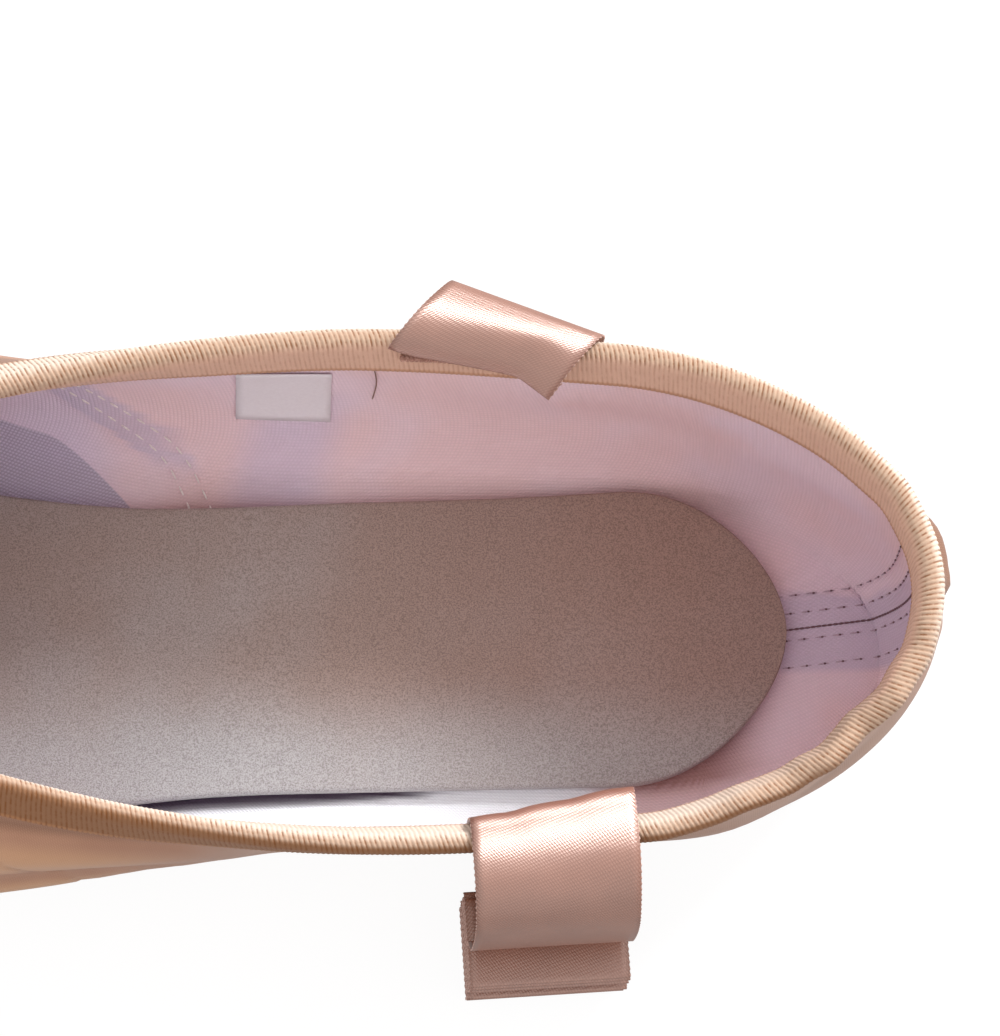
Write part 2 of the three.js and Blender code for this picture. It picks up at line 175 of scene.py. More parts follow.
def heel_round(along):
    """Share of the width that the rounded heel leaves."""
    return rounded(1 - along / HEEL_ROUND)


def topline_half(along):
    """Half the width of the opening at the topline."""
    share = (along - THROAT_ROUND_START) / (THROAT - THROAT_ROUND_START)
    return column("top_half", along) * rounded(share, THROAT_POWER)


def lean(along, z):
    """Shift of the heel curve and of the platform along the shoe."""
    fade = np.maximum(0, 1 - along / HEEL_ROUND) ** 2
    low = z < HEEL_BULGE_Z
    reach = np.where(low, HEEL_BULGE_Z, LAST[0, 5] - HEEL_BULGE_Z)
    setback = np.where(low, HEEL_BASE_SETBACK, HEEL_TOP_SETBACK)
    heel = setback * ((z - HEEL_BULGE_Z) / reach) ** 2
    toe = smooth(along, PLATFORM_TILT_START, LENGTH)
    return heel * fade - PLATFORM_TILT * (z - base_z(LENGTH)) * toe


def sway_at(along):
    """How far the insole lies to the left of the middle."""
    sway = SWAY * (np.minimum(along, SWAY_END) - SWAY_MIDDLE)
    return sway * (1 - smooth(along, SWAY_END, SWAY_GONE))


def is_open_below(along):
    """Whether the upper is open underneath, where the insole covers it."""
    return OPENING_START < along < OPENING_END


def half_section(along, steps=40):
    """Half a section as (half-width, height), from the bottom to the topline or the crest."""
    run = max(0.0, along - (LENGTH - TOE_RADIUS))
    inset = TOE_RADIUS - math.sqrt(max(0.0, TOE_RADIUS**2 - run**2))
    base = base_z(along) + inset
    flat, widest_z = column("flat", along), column("widest_z", along)
    widest, top_z = column("widest", along) - inset, column("top_z", along) - inset
    squeeze = heel_round(along)
    start = 0.0
    if is_open_below(along):
        ends = end_round(along, OPENING_START, OPENING_END, OPENING_ROUND, OPENING_ROUND)
        start = (flat * squeeze - OPENING_MARGIN) * ends / squeeze
    flare = max(0.0, column("flare", along))
    top_share = (topline_half(along) - flare) / widest if along < THROAT else 0.0
    top_rise = (1 - top_share**UPPER_POWER) ** (1 / UPPER_POWER)
    instep = widest_z + (top_z - widest_z) / top_rise
    bottom = np.linspace(start, flat, steps, endpoint=False)
    low = np.linspace(0, math.pi / 2, steps, endpoint=False)
    high = np.linspace(0, math.asin(top_rise ** (UPPER_POWER / 2)), steps)
    power = 2 / UPPER_POWER
    y = np.r_[
        bottom,
        flat + (widest - flat) * np.sin(low),
        widest * np.maximum(0, np.cos(high)) ** power,
    ]
    z = np.r_[
        np.full(steps, base),
        widest_z - (widest_z - base) * np.cos(low),
        widest_z + (instep - widest_z) * np.sin(high) ** power,
    ]
    upper = slice(2 * steps, None)
    y[upper] += flare * ((z[upper] - widest_z) / (top_z - widest_z)) ** 2
    y[-1], z[-1] = widest * top_share + flare, top_z
    return np.c_[y * squeeze, z]


def run_along(line):
    """How far each point of a line lies from its start, along the line."""
    return np.r_[0, np.cumsum(np.linalg.norm(np.diff(line, axis=0), axis=1))]


def points_at(at, run, line):
    """The points of a line at given distances, where run holds those of its own points."""
    return np.stack([np.interp(at, run, values) for values in line.T], -1)


def even_points(line, count):
    """Points at equal steps along a line of points, and the line's length."""
    run = run_along(line)
    return points_at(np.linspace(0, run[-1], count), run, line), run[-1]


def from_start(line, cut):
    """A line of points without its first stretch."""
    run = run_along(line)
    return np.concatenate((points_at([cut], run, line), line[run > cut]))


def mirrored(points):
    """The same points on the other side of the shoe."""
    return points * np.array((1.0, -1.0, 1.0))


def spread(start, end, steps, shape=1.0):
    """Stations between two places, closer together at one end where shape isn't 1."""
    return start + (end - start) * (np.arange(steps) / steps) ** shape


class Wall:
    """The left half of the upper's wall as a grid of stations and rows."""

    ROWS = 57

    def __init__(self):
        self.along = np.r_[
            spread(0, OPENING_START, 28, 2),
            spread(OPENING_START, HEEL_ROUND, 24, 1.5),
            spread(HEEL_ROUND, THROAT_ROUND_START, 50),
            spread(THROAT_ROUND_START, THROAT, 56, 0.6),
            spread(THROAT, OPENING_END, 24, 1.3),
            spread(OPENING_END, LENGTH - TOE_RADIUS, 30),
            spread(LENGTH - TOE_RADIUS, LENGTH, 8, 0.7),
            LENGTH,
        ]
        rings, totals = zip(*(even_points(half_section(a), self.ROWS) for a in self.along))
        section = np.array(rings)
        along = self.along[:, None]
        x = along - HEEL_CENTRE + lean(along, section[..., 1])
        self.outer = np.dstack((x, section))
        share = np.linspace(0, 1, self.ROWS)
        self.depth = np.array(totals)[:, None] * (1 - share)
        self.stations = np.broadcast_to(along, self.depth.shape)
        steps = np.linalg.norm(np.diff(self.outer, axis=0), axis=2)
        self.run = np.vstack((np.zeros(self.ROWS), np.cumsum(steps, axis=0)))
        self.thick = wall_thickness(along)
        self.toe_centre = (self.outer[-1, 0] + self.outer[-1, -1]) / 2
        self.inward = self._inward()
        self.throat = int(np.argmin(np.abs(self.along - THROAT)))

    def _inward(self):
        """Directions into the wall, square to its outer face."""
        grid = self.outer
        before = np.concatenate((mirrored(grid[1:2]), grid[:-1]))
        after = np.concatenate((grid[1:], np.broadcast_to(self.toe_centre, grid[:1].shape)))
        before[-1] = grid[-1]
        below = np.concatenate((grid[:, :1], grid[:, :-1]), 1)
        above = np.concatenate((grid[:, 1:], grid[:, -1:]), 1)
        for i, a in enumerate(self.along):
            if i > 0 and not is_open_below(a):
                below[i, 0] = mirrored(grid[i, 1])
            if a >= THROAT:
                above[i, -1] = mirrored(grid[i, -2])
        normal = np.cross(after - before, above - below)
        normal[np.abs(grid[..., 1]) < 1e-6, 1] = 0
        normal[0, 0] = normal[0, 1]
        return normal / np.linalg.norm(normal, axis=2, keepdims=True)

    def inner(self, lift=0.0):
        """The lining's face, raised from the wall by a lift."""
        return self.outer + self.inward * (self.thick + lift)[..., None]

    def drawn_in(self, face, side):
        """A face of the wall with the left quarter sunk in between its topline and its sole."""
        if side < 0:
            return face
        along = self.along[:, None]
        base = base_z(along)
        share = np.clip((face[..., 2] - base) / (column("top_z", along) - base), 0, 1)
        sunk = SUNK_DEPTH * band(along, *SUNK_SPAN) * np.sin(np.pi * share) ** 2
        return face - sunk[..., None] * (0, 1, 0)

    def on_lining(self, along, depth, side, lift=0.0):
        """Points on the lining at the given distances from the heel and below the topline."""
        face = self.drawn_in(self.inner(np.full(self.depth.shape, lift)), side)
        points = []
        for a, d in zip(along, depth):
            i = np.clip(np.searchsorted(self.along, a) - 1, 0, len(self.along) - 2)
            t = (a - self.along[i]) / (self.along[i + 1] - self.along[i])
            here, after = (points_at(d, self.depth[k][::-1], face[k][::-1]) for k in (i, i + 1))
            points.append(here * (1 - t) + after * t)
        points = np.array(points)
        return points if side > 0 else mirrored(points)


def seam_along(depth):
    """Where the side seam runs, at a depth below the topline."""
    reach = 1.5
    shifts = np.linspace(-reach, reach, 7)
    return sum(np.interp(depth + k, SEAM_DEPTHS, SEAM_ALONG) for k in shifts) / len(shifts)


def seam_distance(along, depth):
    """Distance from the side seam, positive towards the toe."""
    slope = seam_along(depth + 0.5) - seam_along(depth - 0.5)
    return (along - seam_along(depth)) / np.sqrt(1 + slope**2)


def wing_distance(along, depth):
    """How far a place lies inside the wing behind the lining, where the lining gets painted shade.
    """
    behind = np.maximum(0, WING_CORNER - along) / WING_REACH
    return depth - WING_DEPTH - WING_FALL * behind**WING_POWER


def band(value, low, high, edge):
    """1 between two places and 0 outside them, with soft edges."""
    return smooth(value, low - edge, low + edge) * (1 - smooth(value, high - edge, high + edge))


# How far a fold has already swelled at its ends, as a share of half a wave.
FOLD_END = 0.12


def folds_relief(folds, along, depth, side):
    """Soft troughs and ridges, each along a line from one point of the wall to another."""
    relief = np.zeros(along.shape)
    for fold_side, a0, d0, a1, d1, width, height in folds:
        if fold_side and fold_side != side:
            continue
        run = np.array((a1 - a0, d1 - d0))
        t = ((along - a0) * run[0] + (depth - d0) * run[1]) / (run @ run)
        near = np.clip(t, 0, 1)
        away = np.hypot(along - a0 - near * run[0], depth - d0 - near * run[1])
        taper = np.sin(np.pi * (FOLD_END + (1 - 2 * FOLD_END) * near))
        relief += height * taper * np.exp(-((away / width) ** 2))
    return relief


# Creases of the satin: side (0 is both), along and depth of each end, width, height.
SATIN_FOLDS = (
    (1, 104, 5, 150, 7, 1.8, -0.9),
    (1, 104, 11, 150, 15, 3.8, 1.0),
    (1, 102, 18, 140, 24, 2.6, -1.1),
    (1, 98, 22, 126, 33, 2.6, -0.9),
    (1, 112, 26, 150, 30, 3.2, 0.9),
    (1, 106, 34, 146, 40, 3.4, -0.9),
    (1, 102, 24, 164, 26, 9.0, 1.2),
    (-1, 98, 9, 146, 16, 3.6, -0.8),
    (-1, 106, 18, 150, 26, 3.8, 0.7),
    (-1, 114, 8, 146, 12, 7.0, -1.2),
    (-1, 110, 27, 138, 36, 3.6, -0.6),
    (0, 8, 10, 22, 30, 4.0, -0.5),
    (-1, 0.4, 8, 4, 10, 4.2, 2.4),
    (-1, 1, 14, 6, 18, 2.6, -0.7),
    (0, 62, 12, 92, 20, 5.0, -0.5),
    (0, 66, 22, 98, 28, 5.0, 0.4),
    (0, 150, 30, 178, 42, 5.0, -0.4),
)
LINING_FOLDS = (
    (0, 84, 16, 101, 20, 2.2, 0.35),
    (0, 82, 22, 99, 27, 2.0, -0.3),
    (0, 40, 12, 72, 15, 5.0, 0.4),
    (0, 30, 20, 64, 26, 5.5, -0.4),
    (0, 6, 14, 26, 26, 5.0, 0.4),
    (0, 112, 13.5, 132, 13.5, 0.8, -0.3),
)


# Meshes


def mesh_object(name, points, faces, materials, attributes=None, uv=None, face_material=None):
    """A smooth mesh from points in millimetres, with coinciding points joined."""
    points = np.asarray(points, float)
    _, first, index = np.unique(
        np.round(points, 4), axis=0, return_index=True, return_inverse=True
    )
    index = index.ravel()
    kept, kept_from = [], []
    for number, face in enumerate(faces):
        ring = [int(index[v]) for v in face]
        ring = [v for k, v in enumerate(ring) if v != ring[k - 1]]
        if len(ring) > 2 and len(set(ring)) == len(ring):
            kept.append(ring)
            kept_from.append(number)
    mesh = bpy.data.meshes.new(name)
    mesh.from_pydata((points[first] * MM).tolist(), [], kept)
    for material in materials:
        mesh.materials.append(material)
    if face_material is not None:
        mesh.polygons.foreach_set("material_index", np.asarray(face_material)[kept_from])
    for key, values in (attributes or {}).items():
        layer = mesh.attributes.new(key, "FLOAT", "POINT")
        layer.data.foreach_set("value", np.asarray(values, float)[first])
    if uv is not None:
        corners = np.zeros(len(mesh.loops), int)
        mesh.loops.foreach_get("vertex_index", corners)
        layer = mesh.uv_layers.new(name="Cloth")
        layer.data.foreach_set("uv", np.asarray(uv, float)[first][corners].ravel())
    mesh.polygons.foreach_set("use_smooth", np.ones(len(mesh.polygons), bool))
    mesh.update()
    obj = bpy.data.objects.new(name, mesh)
    bpy.context.scene.collection.objects.link(obj)
    return obj


def grid_faces(rows, columns, start=0, flip=False, closed=False):
    """Quads over a grid of points. A closed grid joins its last column to its first."""
    faces = []
    for i in range(rows - 1):
        for j in range(columns if closed else columns - 1):
            k = (j + 1) % columns
            a, b = start + i * columns + j, start + i * columns + k
            c, d = b + columns, a + columns
            faces.append((a, d, c, b) if flip else (a, b, c, d))
    return faces


def strip_faces(rows, columns, flip):
    """Quads round a flat strip, whose rings run across one face and back across the other."""
    faces = grid_faces(rows, columns, flip=flip, closed=True)
    for first, turned in ((0, flip), ((rows - 1) * columns, not flip)):
        for j in range(columns // 2 - 1):
            quad = (first + j, first + columns - 1 - j, first + columns - 2 - j, first + j + 1)
            faces.append(quad[::-1] if turned else quad)
    return faces


def frame_piece(obj, slot, *nodes):
    """Fixes a piece to the part and hides the nodes of the part that it stands in for. The slot is
    not used.
    """
    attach(obj, "root")
    if nodes:
        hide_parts(*nodes)


# Nodes


def put(tree, socket, value):
    """Sets an input to a value, or links it to another node's output."""
    if isinstance(value, bpy.types.NodeSocket):
        tree.links.new(value, socket)
    else:
        socket.default_value = value


def add_node(tree, kind, *values, out=0, inputs=None, **settings):
    """Adds a node with its settings. Its inputs, in order or by name, are set or linked."""
    node = tree.nodes.new(kind)
    for key, value in settings.items():
        setattr(node, key, value)
    for key, value in (*enumerate(values), *(inputs or {}).items()):
        put(tree, node.inputs[key], value)
    return node.outputs[out] if node.outputs else None


ROW_TREE = "Row of Threads"
ROW_SOCKETS = (
    ("Geometry", "INPUT", "Geometry"), ("Pitch", "INPUT", "Float"), ("Length", "INPUT", "Float"),
    ("Thickness", "INPUT", "Float"), ("Material", "INPUT", "Material"),
    ("Geometry", "OUTPUT", "Geometry"),
)
THREAD_SEGMENTS, THREAD_RINGS = 8, 5


def row_tree():
    """A tree that sets small ellipsoids along lines: stitches, or the loops of a ribbon's edge."""
    tree = bpy.data.node_groups.get(ROW_TREE)
    if tree:
        return tree
    tree = bpy.data.node_groups.new(ROW_TREE, "GeometryNodeTree")
    for name, direction, kind in ROW_SOCKETS:
        tree.interface.new_socket(name, in_out=direction, socket_type="NodeSocket" + kind)
    source = add_node(tree, "NodeGroupInput").node.outputs
    wide, tall = source["Thickness"], source["Length"]
    curve = add_node(tree, "GeometryNodeMeshToCurve", source["Geometry"])
    points = add_node(
        tree, "GeometryNodeCurveToPoints", curve, inputs={"Length": source["Pitch"]}, mode="LENGTH"
    )
    placed = add_node(tree, "GeometryNodeInstanceOnPoints", inputs={
        "Points": points,
        "Rotation": points.node.outputs["Rotation"],
        "Instance": add_node(tree, "GeometryNodeMeshUVSphere", THREAD_SEGMENTS, THREAD_RINGS, 0.5),
        "Scale": add_node(tree, "ShaderNodeCombineXYZ", wide, wide, tall),
    })
    real = add_node(tree, "GeometryNodeRealizeInstances", placed)
    shade = add_node(tree, "GeometryNodeSetShadeSmooth", real)
    inputs = {"Material": source["Material"]}
    paint = add_node(tree, "GeometryNodeSetMaterial", shade, inputs=inputs)
    add_node(tree, "NodeGroupOutput", paint)
    return tree


def thread_rows(name, lines, pitch, length, thickness, material):
    """One mesh of threads set along lines of points in millimetres."""
    points = np.concatenate(lines) * MM
    edges, start = [], 0
    for line in lines:
        edges += [(start + k, start + k + 1) for k in range(len(line) - 1)]
        start += len(line)
    path = bpy.data.meshes.new(name + "_path")
    path.from_pydata(points.tolist(), edges, [])
    carrier = bpy.data.objects.new(name + "_path", path)
    bpy.context.scene.collection.objects.link(carrier)
    modifier = carrier.modifiers.new("Row", "NODES")
    modifier.node_group = row_tree()
    values = {
        "Pitch": pitch * MM, "Length": length * MM, "Thickness": thickness * MM,
        "Material": material,
    }
    for socket in modifier.node_group.interface.items_tree:
        if socket.in_out == "INPUT" and socket.name in values:
            modifier[socket.identifier] = values[socket.name]
    graph = bpy.context.evaluated_depsgraph_get()
    mesh = bpy.data.meshes.new_from_object(carrier.evaluated_get(graph), depsgraph=graph)
    mesh.name = name
    bpy.data.objects.remove(carrier)
    obj = bpy.data.objects.new(name, mesh)
    bpy.context.scene.collection.objects.link(obj)
    return obj


# Materials

# Settings that many nodes share, with the output that is read.
TIMES, GROWN = {"operation": "MULTIPLY"}, {"operation": "MULTIPLY_ADD"}
SOFT = {"interpolation_type": "SMOOTHSTEP"}
BLEND = {"data_type": "RGBA", "out": 2}
VALUE = {"out": 2}


def linear(colour):
    """A colour picked as sRGB, as the linear RGBA that shaders take."""
    code = colour.lstrip("#")
    parts = [int(code[k : k + 2], 16) / 255 for k in (0, 2, 4)]
    return [c / 12.92 if c <= 0.04045 else ((c + 0.055) / 1.055) ** 2.4 for c in parts] + [1.0]


class Shader:
    """A material's node tree, built up round its surface."""

    def __init__(self, name, **surface):
        self.material = bpy.data.materials.new(name)
        self.material.use_nodes = True
        self.tree = self.material.node_tree
        self.surface(**surface)

    def add(self, kind, *values, **rest):
        return add_node(self.tree, "ShaderNode" + kind, *values, **rest)

    def surface(self, **inputs):
        """Sets or links inputs of the surface."""
        for key, value in inputs.items():
            put(self.tree, self.tree.nodes["Principled BSDF"].inputs[key.replace("_", " ")], value)

    def cloth(self):
        """The cloth's own coordinates in millimetres, as two values."""
        return self.add("SeparateXYZ", self.add("UVMap", uv_map="Cloth")).node.outputs[:2]

    def grain(self, size_mm, detail=3.0, roughness=0.55):
        """Noise whose features measure about size_mm, in the object's own space."""
        return self.add("TexNoise", inputs={
            "Vector": self.add("TexCoord", out=3), "Scale": 1 / (size_mm * MM),
            "Detail": detail, "Roughness": roughness,
        })

    def threads(self, value, pitch):
        """1 along the middle of each thread and 0 between threads."""
        turns = self.add("Math", value, math.pi / pitch, **TIMES)
        return self.add("Math", self.add("Math", turns, operation="SINE"), operation="ABSOLUTE")

    def painted(self, base, *layers):
        """A colour with others laid over it, each by its own mask."""
        for mask, colour in layers:
            base = self.add("Mix", inputs={0: mask, 6: base, 7: colour}, **BLEND)
        return base


def satin_material(colours):
    """Peach satin: long floats of thread give a soft sheen that stretches across the weave.

    Its weave, like that of the other cloths, is drawn coarser than the real one so that it shows.
    """
    s = Shader(
        "Peach satin", Roughness=0.42, Anisotropic=0.6, IOR=1.7, Specular_Tint=linear("#f3c8a4")
    )
    u, v = s.cloth()
    slanted = s.threads(s.add("Math", v, u, operation="ADD"), 0.5)
    weave = s.add("Math", s.threads(u, 0.32), slanted, **TIMES)
    fold_light_and_shade = s.add("Attribute", attribute_name="fold_light_and_shade", **VALUE)
    base = s.painted(
        colours.satin,
        (s.add("MapRange", s.grain(14.0, detail=2.0), 0.3, 0.7, **SOFT), colours.satin_deep),
        # Painted highlight where the mark is high, on crests, and painted shade where it is low.
        (s.add("MapRange", fold_light_and_shade, 0.1, 1.2, 0.0, 0.7, **SOFT), colours.satin_painted_highlight),
        (s.add("MapRange", fold_light_and_shade, -0.1, -1.0, 0.0, 0.75, **SOFT), colours.satin_painted_shade),
        (s.add("Math", weave, 0.12, **TIMES), linear("#f0cdb4")),
    )
    s.surface(Base_Color=base, Tangent=s.add("Tangent", direction_type="UV_MAP", uv_map="Cloth"))
    s.surface(Normal=s.add("Bump", 0.4, 0.05 * MM, inputs={"Height": weave}))
    return s.material


def lining_material(colours):
    """Cotton lining: an open plain weave, pale pink. Painted shade makes it grey where the stiff
    wing behind it keeps out the light that comes through, brown by the insole and darkest towards
    the toe; a patch of painted light lies on the left.
    """
    s = Shader("Cotton lining", Roughness=0.9, Specular_IOR_Level=0.15)
    u, v = s.cloth()
    weave = s.add("Math", s.threads(u, 0.55), s.threads(v, 0.6), **TIMES)
    mauve, pale, tape, wing, foot, shade = (
        s.add("Attribute", attribute_name=name, **VALUE)
        for name in ("mauve", "pale", "tape", "wing", "foot", "shade")
    )
    # Painted shade where the stiff wing behind the lining keeps out the light that comes through
    # the cloth; the holes of the weave are darker there too.
    wing = s.add("MapRange", wing, -0.3, 0.3, 0.0, 0.85, **SOFT)
    holes = s.add("Math", 1.0, weave, operation="SUBTRACT")
    holes = s.add("Math", holes, s.add("Math", wing, 0.34, 0.13, **GROWN), **TIMES)
    base = s.painted(
        colours.lining,
        (s.add("MapRange", s.grain(26.0, detail=2.0), 0.35, 0.65, **SOFT), colours.lining_peach),
        (s.add("Math", mauve, 0.7, **TIMES), colours.mauve),
        # Painted light: the patch of the left lining that the key light falls on.
        (pale, colours.pale),
        (s.add("Math", tape, 0.6, **TIMES), colours.tape),
        (wing, colours.wing),
        # Painted shade, brown, where the lining meets the insole.
        (s.add("Math", foot, 0.7, **TIMES), colours.foot),
        (shade, colours.shade),
        (holes, linear("#5d4a52")),
    )
    s.surface(Base_Color=base, Normal=s.add("Bump", 0.6, 0.12 * MM, inputs={"Height": weave}))
    return s.material


def binding_material(colours):
    """Ribbed tape with painted light and shade: cream where its faces turn towards the key light,
    tan on inner and orange on outer faces that turn away, brown between ribs.
    """
    s = Shader("Ribbed binding tape", Roughness=0.8, Sheen_Weight=0.1, Specular_IOR_Level=0.2)
    height, face, painted_lighting, girth, rib = (
        s.add("Attribute", attribute_name=name, **VALUE)
        for name in ("height", "face", "painted_lighting", "girth", "rib")
    )
    # Painted light and shade: faces turned towards the key light are cream, faces turned away take
    # shaded copies of the tape's colour.
    shaded = s.add("MapRange", painted_lighting, 0.05, -0.2, **SOFT)
    inside = s.add("MapRange", face, -0.4, -0.95, **SOFT)
    outside = s.add("MapRange", face, -0.1, 0.5, **SOFT)
    thread = s.add("Math", s.threads(girth, 0.7), 0.22, 0.78, **GROWN)
    thread = s.add("Math", rib, thread, **TIMES)
    # Painted shade in the gaps between the ribs, broken up by noise and fainter on the inner face.
    rib_shade = s.add("MapRange", thread, 0.6, 0.05, 0.0, 0.85, **SOFT)
    for fade in (
        s.add("MapRange", s.grain(1.1), 0.35, 0.65, 0.25, 1.0, **SOFT),
        s.add("MapRange", face, -1.0, -0.55, 0.3, 1.0, **SOFT),
    ):
        rib_shade = s.add("Math", rib_shade, fade, **TIMES)
    base = s.painted(
        colours.tape_top,
        (s.add("MapRange", painted_lighting, 0.1, 0.6, **SOFT), colours.tape_lit),
        (s.add("Math", shaded, inside, **TIMES), colours.tape_inner_shaded),
        (s.add("Math", shaded, outside, **TIMES), colours.tape_outer_shaded),
        (s.add("MapRange", height, -3.0, -3.5, 0.0, 0.6, **SOFT), colours.tape_hem),
        (rib_shade, colours.tape_rib_shade),
    )
    fuzz = s.add("Math", s.grain(0.25), 0.5, thread, **GROWN)
    s.surface(Base_Color=base, Normal=s.add("Bump", 0.6, 0.09 * MM, inputs={"Height": fuzz}))
    return s.material


def ribbon_material(colours):
    """Ribbon satin: dark in the body, with a fine dotted twill and a bright stretched gleam."""
    s = Shader(
        "Ribbon satin", Roughness=0.42, Anisotropic=0.4, Specular_IOR_Level=1.0, IOR=2.0,
        Specular_Tint=linear("#ffe6dc"),
    )
    u, v = s.cloth()
    twill = s.threads(s.add("Math", v, 0.7, u, **GROWN), 0.42)
    dots = s.threads(s.add("Math", u, -0.3, v, **GROWN), 0.5)
    weave = s.add("Math", twill, s.add("Math", dots, 0.6, 0.4, **GROWN), **TIMES)
    base = s.painted(
        colours.ribbon,
        (s.add("MapRange", s.grain(7.0), 0.3, 0.7, **SOFT), colours.ribbon_deep),
        (s.add("Math", weave, 0.2, **TIMES), linear("#e0b29e")),
    )
    s.surface(Base_Color=base, Tangent=s.add("Tangent", direction_type="UV_MAP", uv_map="Cloth"))
    s.surface(Normal=s.add("Bump", 0.5, 0.05 * MM, inputs={"Height": weave}))
    return s.material


def suede_material(colours):
    """Insole suede: matt beige-grey nap with a fine, salted grain, with painted shade browner
    towards the heel and painted light greyer on the left.
    """
    s = Shader("Insole suede", Roughness=0.95, Specular_IOR_Level=0.1, Sheen_Weight=0.15)
    u, v = s.cloth()
    grain = s.grain(0.22, roughness=0.75)
    base = s.painted(
        colours.suede,
        (s.add("MapRange", s.grain(30.0, detail=2.0), 0.3, 0.7, **SOFT), colours.suede_pink),
        # Painted shade, browner, towards the heel, and painted light, greyer, on the left where the
        # key light falls.
        (s.add("MapRange", u, 75.0, 0.0, 0.0, 0.7, **SOFT), colours.suede_shade),
        (s.add("MapRange", v, 3.0, 18.0, 0.0, 0.6, **SOFT), colours.suede_lit),
        (s.add("MapRange", grain, 0.36, 0.6, 0.5, 0.0, **SOFT), linear("#54453f")),
    )
    s.surface(Base_Color=base, Normal=s.add("Bump", 0.6, 0.12 * MM, inputs={"Height": grain}))
    return s.material


def leather_material(colours):
    """Outsole leather: bare tan, a little scuffed where the shoe stands."""
    s = Shader("Sole leather", Roughness=0.7, Specular_IOR_Level=0.3)
    scuff = s.add("MapRange", s.grain(11.0, detail=5.0, roughness=0.6), 0.4, 0.85, **SOFT)
    s.surface(Base_Color=s.painted(colours.leather, (scuff, colours.leather_scuff)))
    s.surface(Normal=s.add("Bump", 0.5, 0.1 * MM, inputs={"Height": s.grain(0.5, detail=4.0)}))
    return s.material


def thread_material(name, colour, deep, roughness=0.7):
    """Twisted cotton: a matt thread with darker turns where its plies meet."""
    s = Shader(name, Roughness=roughness, Specular_IOR_Level=0.3)
    plies = s.add("MapRange", s.grain(0.3, detail=2.0), 0.35, 0.65, **SOFT)
    s.surface(Base_Color=s.painted(linear(colour), (plies, linear(deep))))
    s.surface(Normal=s.add("Bump", 0.5, 0.04 * MM, inputs={"Height": plies}))
    return s.material


def label_material():
    """Coated cloth label: off-white and nearly flat, with a faint weave."""
    s = Shader("Coated cloth label", Roughness=0.7)
    weave = s.grain(0.5, detail=2.0)
    s.surface(Base_Color=s.painted(linear("#e9e2e5"), (weave, linear("#ded5d9"))))
    s.surface(Normal=s.add("Bump", 0.5, 0.03 * MM, inputs={"Height": weave}))
    return s.material


def floor_material(name, glow):
    """White paper with a little light of its own, so that shadows on it stay faint."""
    s = Shader(
        name, Roughness=0.9, Base_Color=linear("#5c5c5c"), Emission_Color=linear("#ffffff"),
        Emission_Strength=glow,
    )
    return s.material


# Settings


class PointeSizes(bpy.types.PropertyGroup):
    rib_pitch: FloatProperty(
        name="Rib pitch", description="Distance between the binding's ribs",
        default=0.68 * MM, unit="LENGTH", subtype="DISTANCE",
    )
    rib_height: FloatProperty(
        name="Rib height", description="How far a rib stands up from the tape",
        default=0.08 * MM, unit="LENGTH", subtype="DISTANCE",
    )
    ribbon_width: FloatProperty(
        name="Ribbon width", description="Width of each ribbon",
        default=22 * MM, unit="LENGTH", subtype="DISTANCE",
    )
    ribbon_length: FloatProperty(
        name="Ribbon length", description="Length of each ribbon before it is folded",
        default=500 * MM, unit="LENGTH", subtype="DISTANCE",
    )
    picot_pitch: FloatProperty(
        name="Picot pitch", description="Distance between the loops of a ribbon's edge",
        default=0.9 * MM, unit="LENGTH", subtype="DISTANCE",
    )
    stitch_pitch: FloatProperty(
        name="Stitch pitch", description="Distance between stitches in the lining",
        default=2.5 * MM, unit="LENGTH", subtype="DISTANCE",
    )


def dyed(name, description, colour):
    """A colour that the user can change, picked as sRGB."""
    return FloatVectorProperty(
        name=name, description=description, default=linear(colour),
        size=4, min=0, max=1, subtype="COLOR",
    )


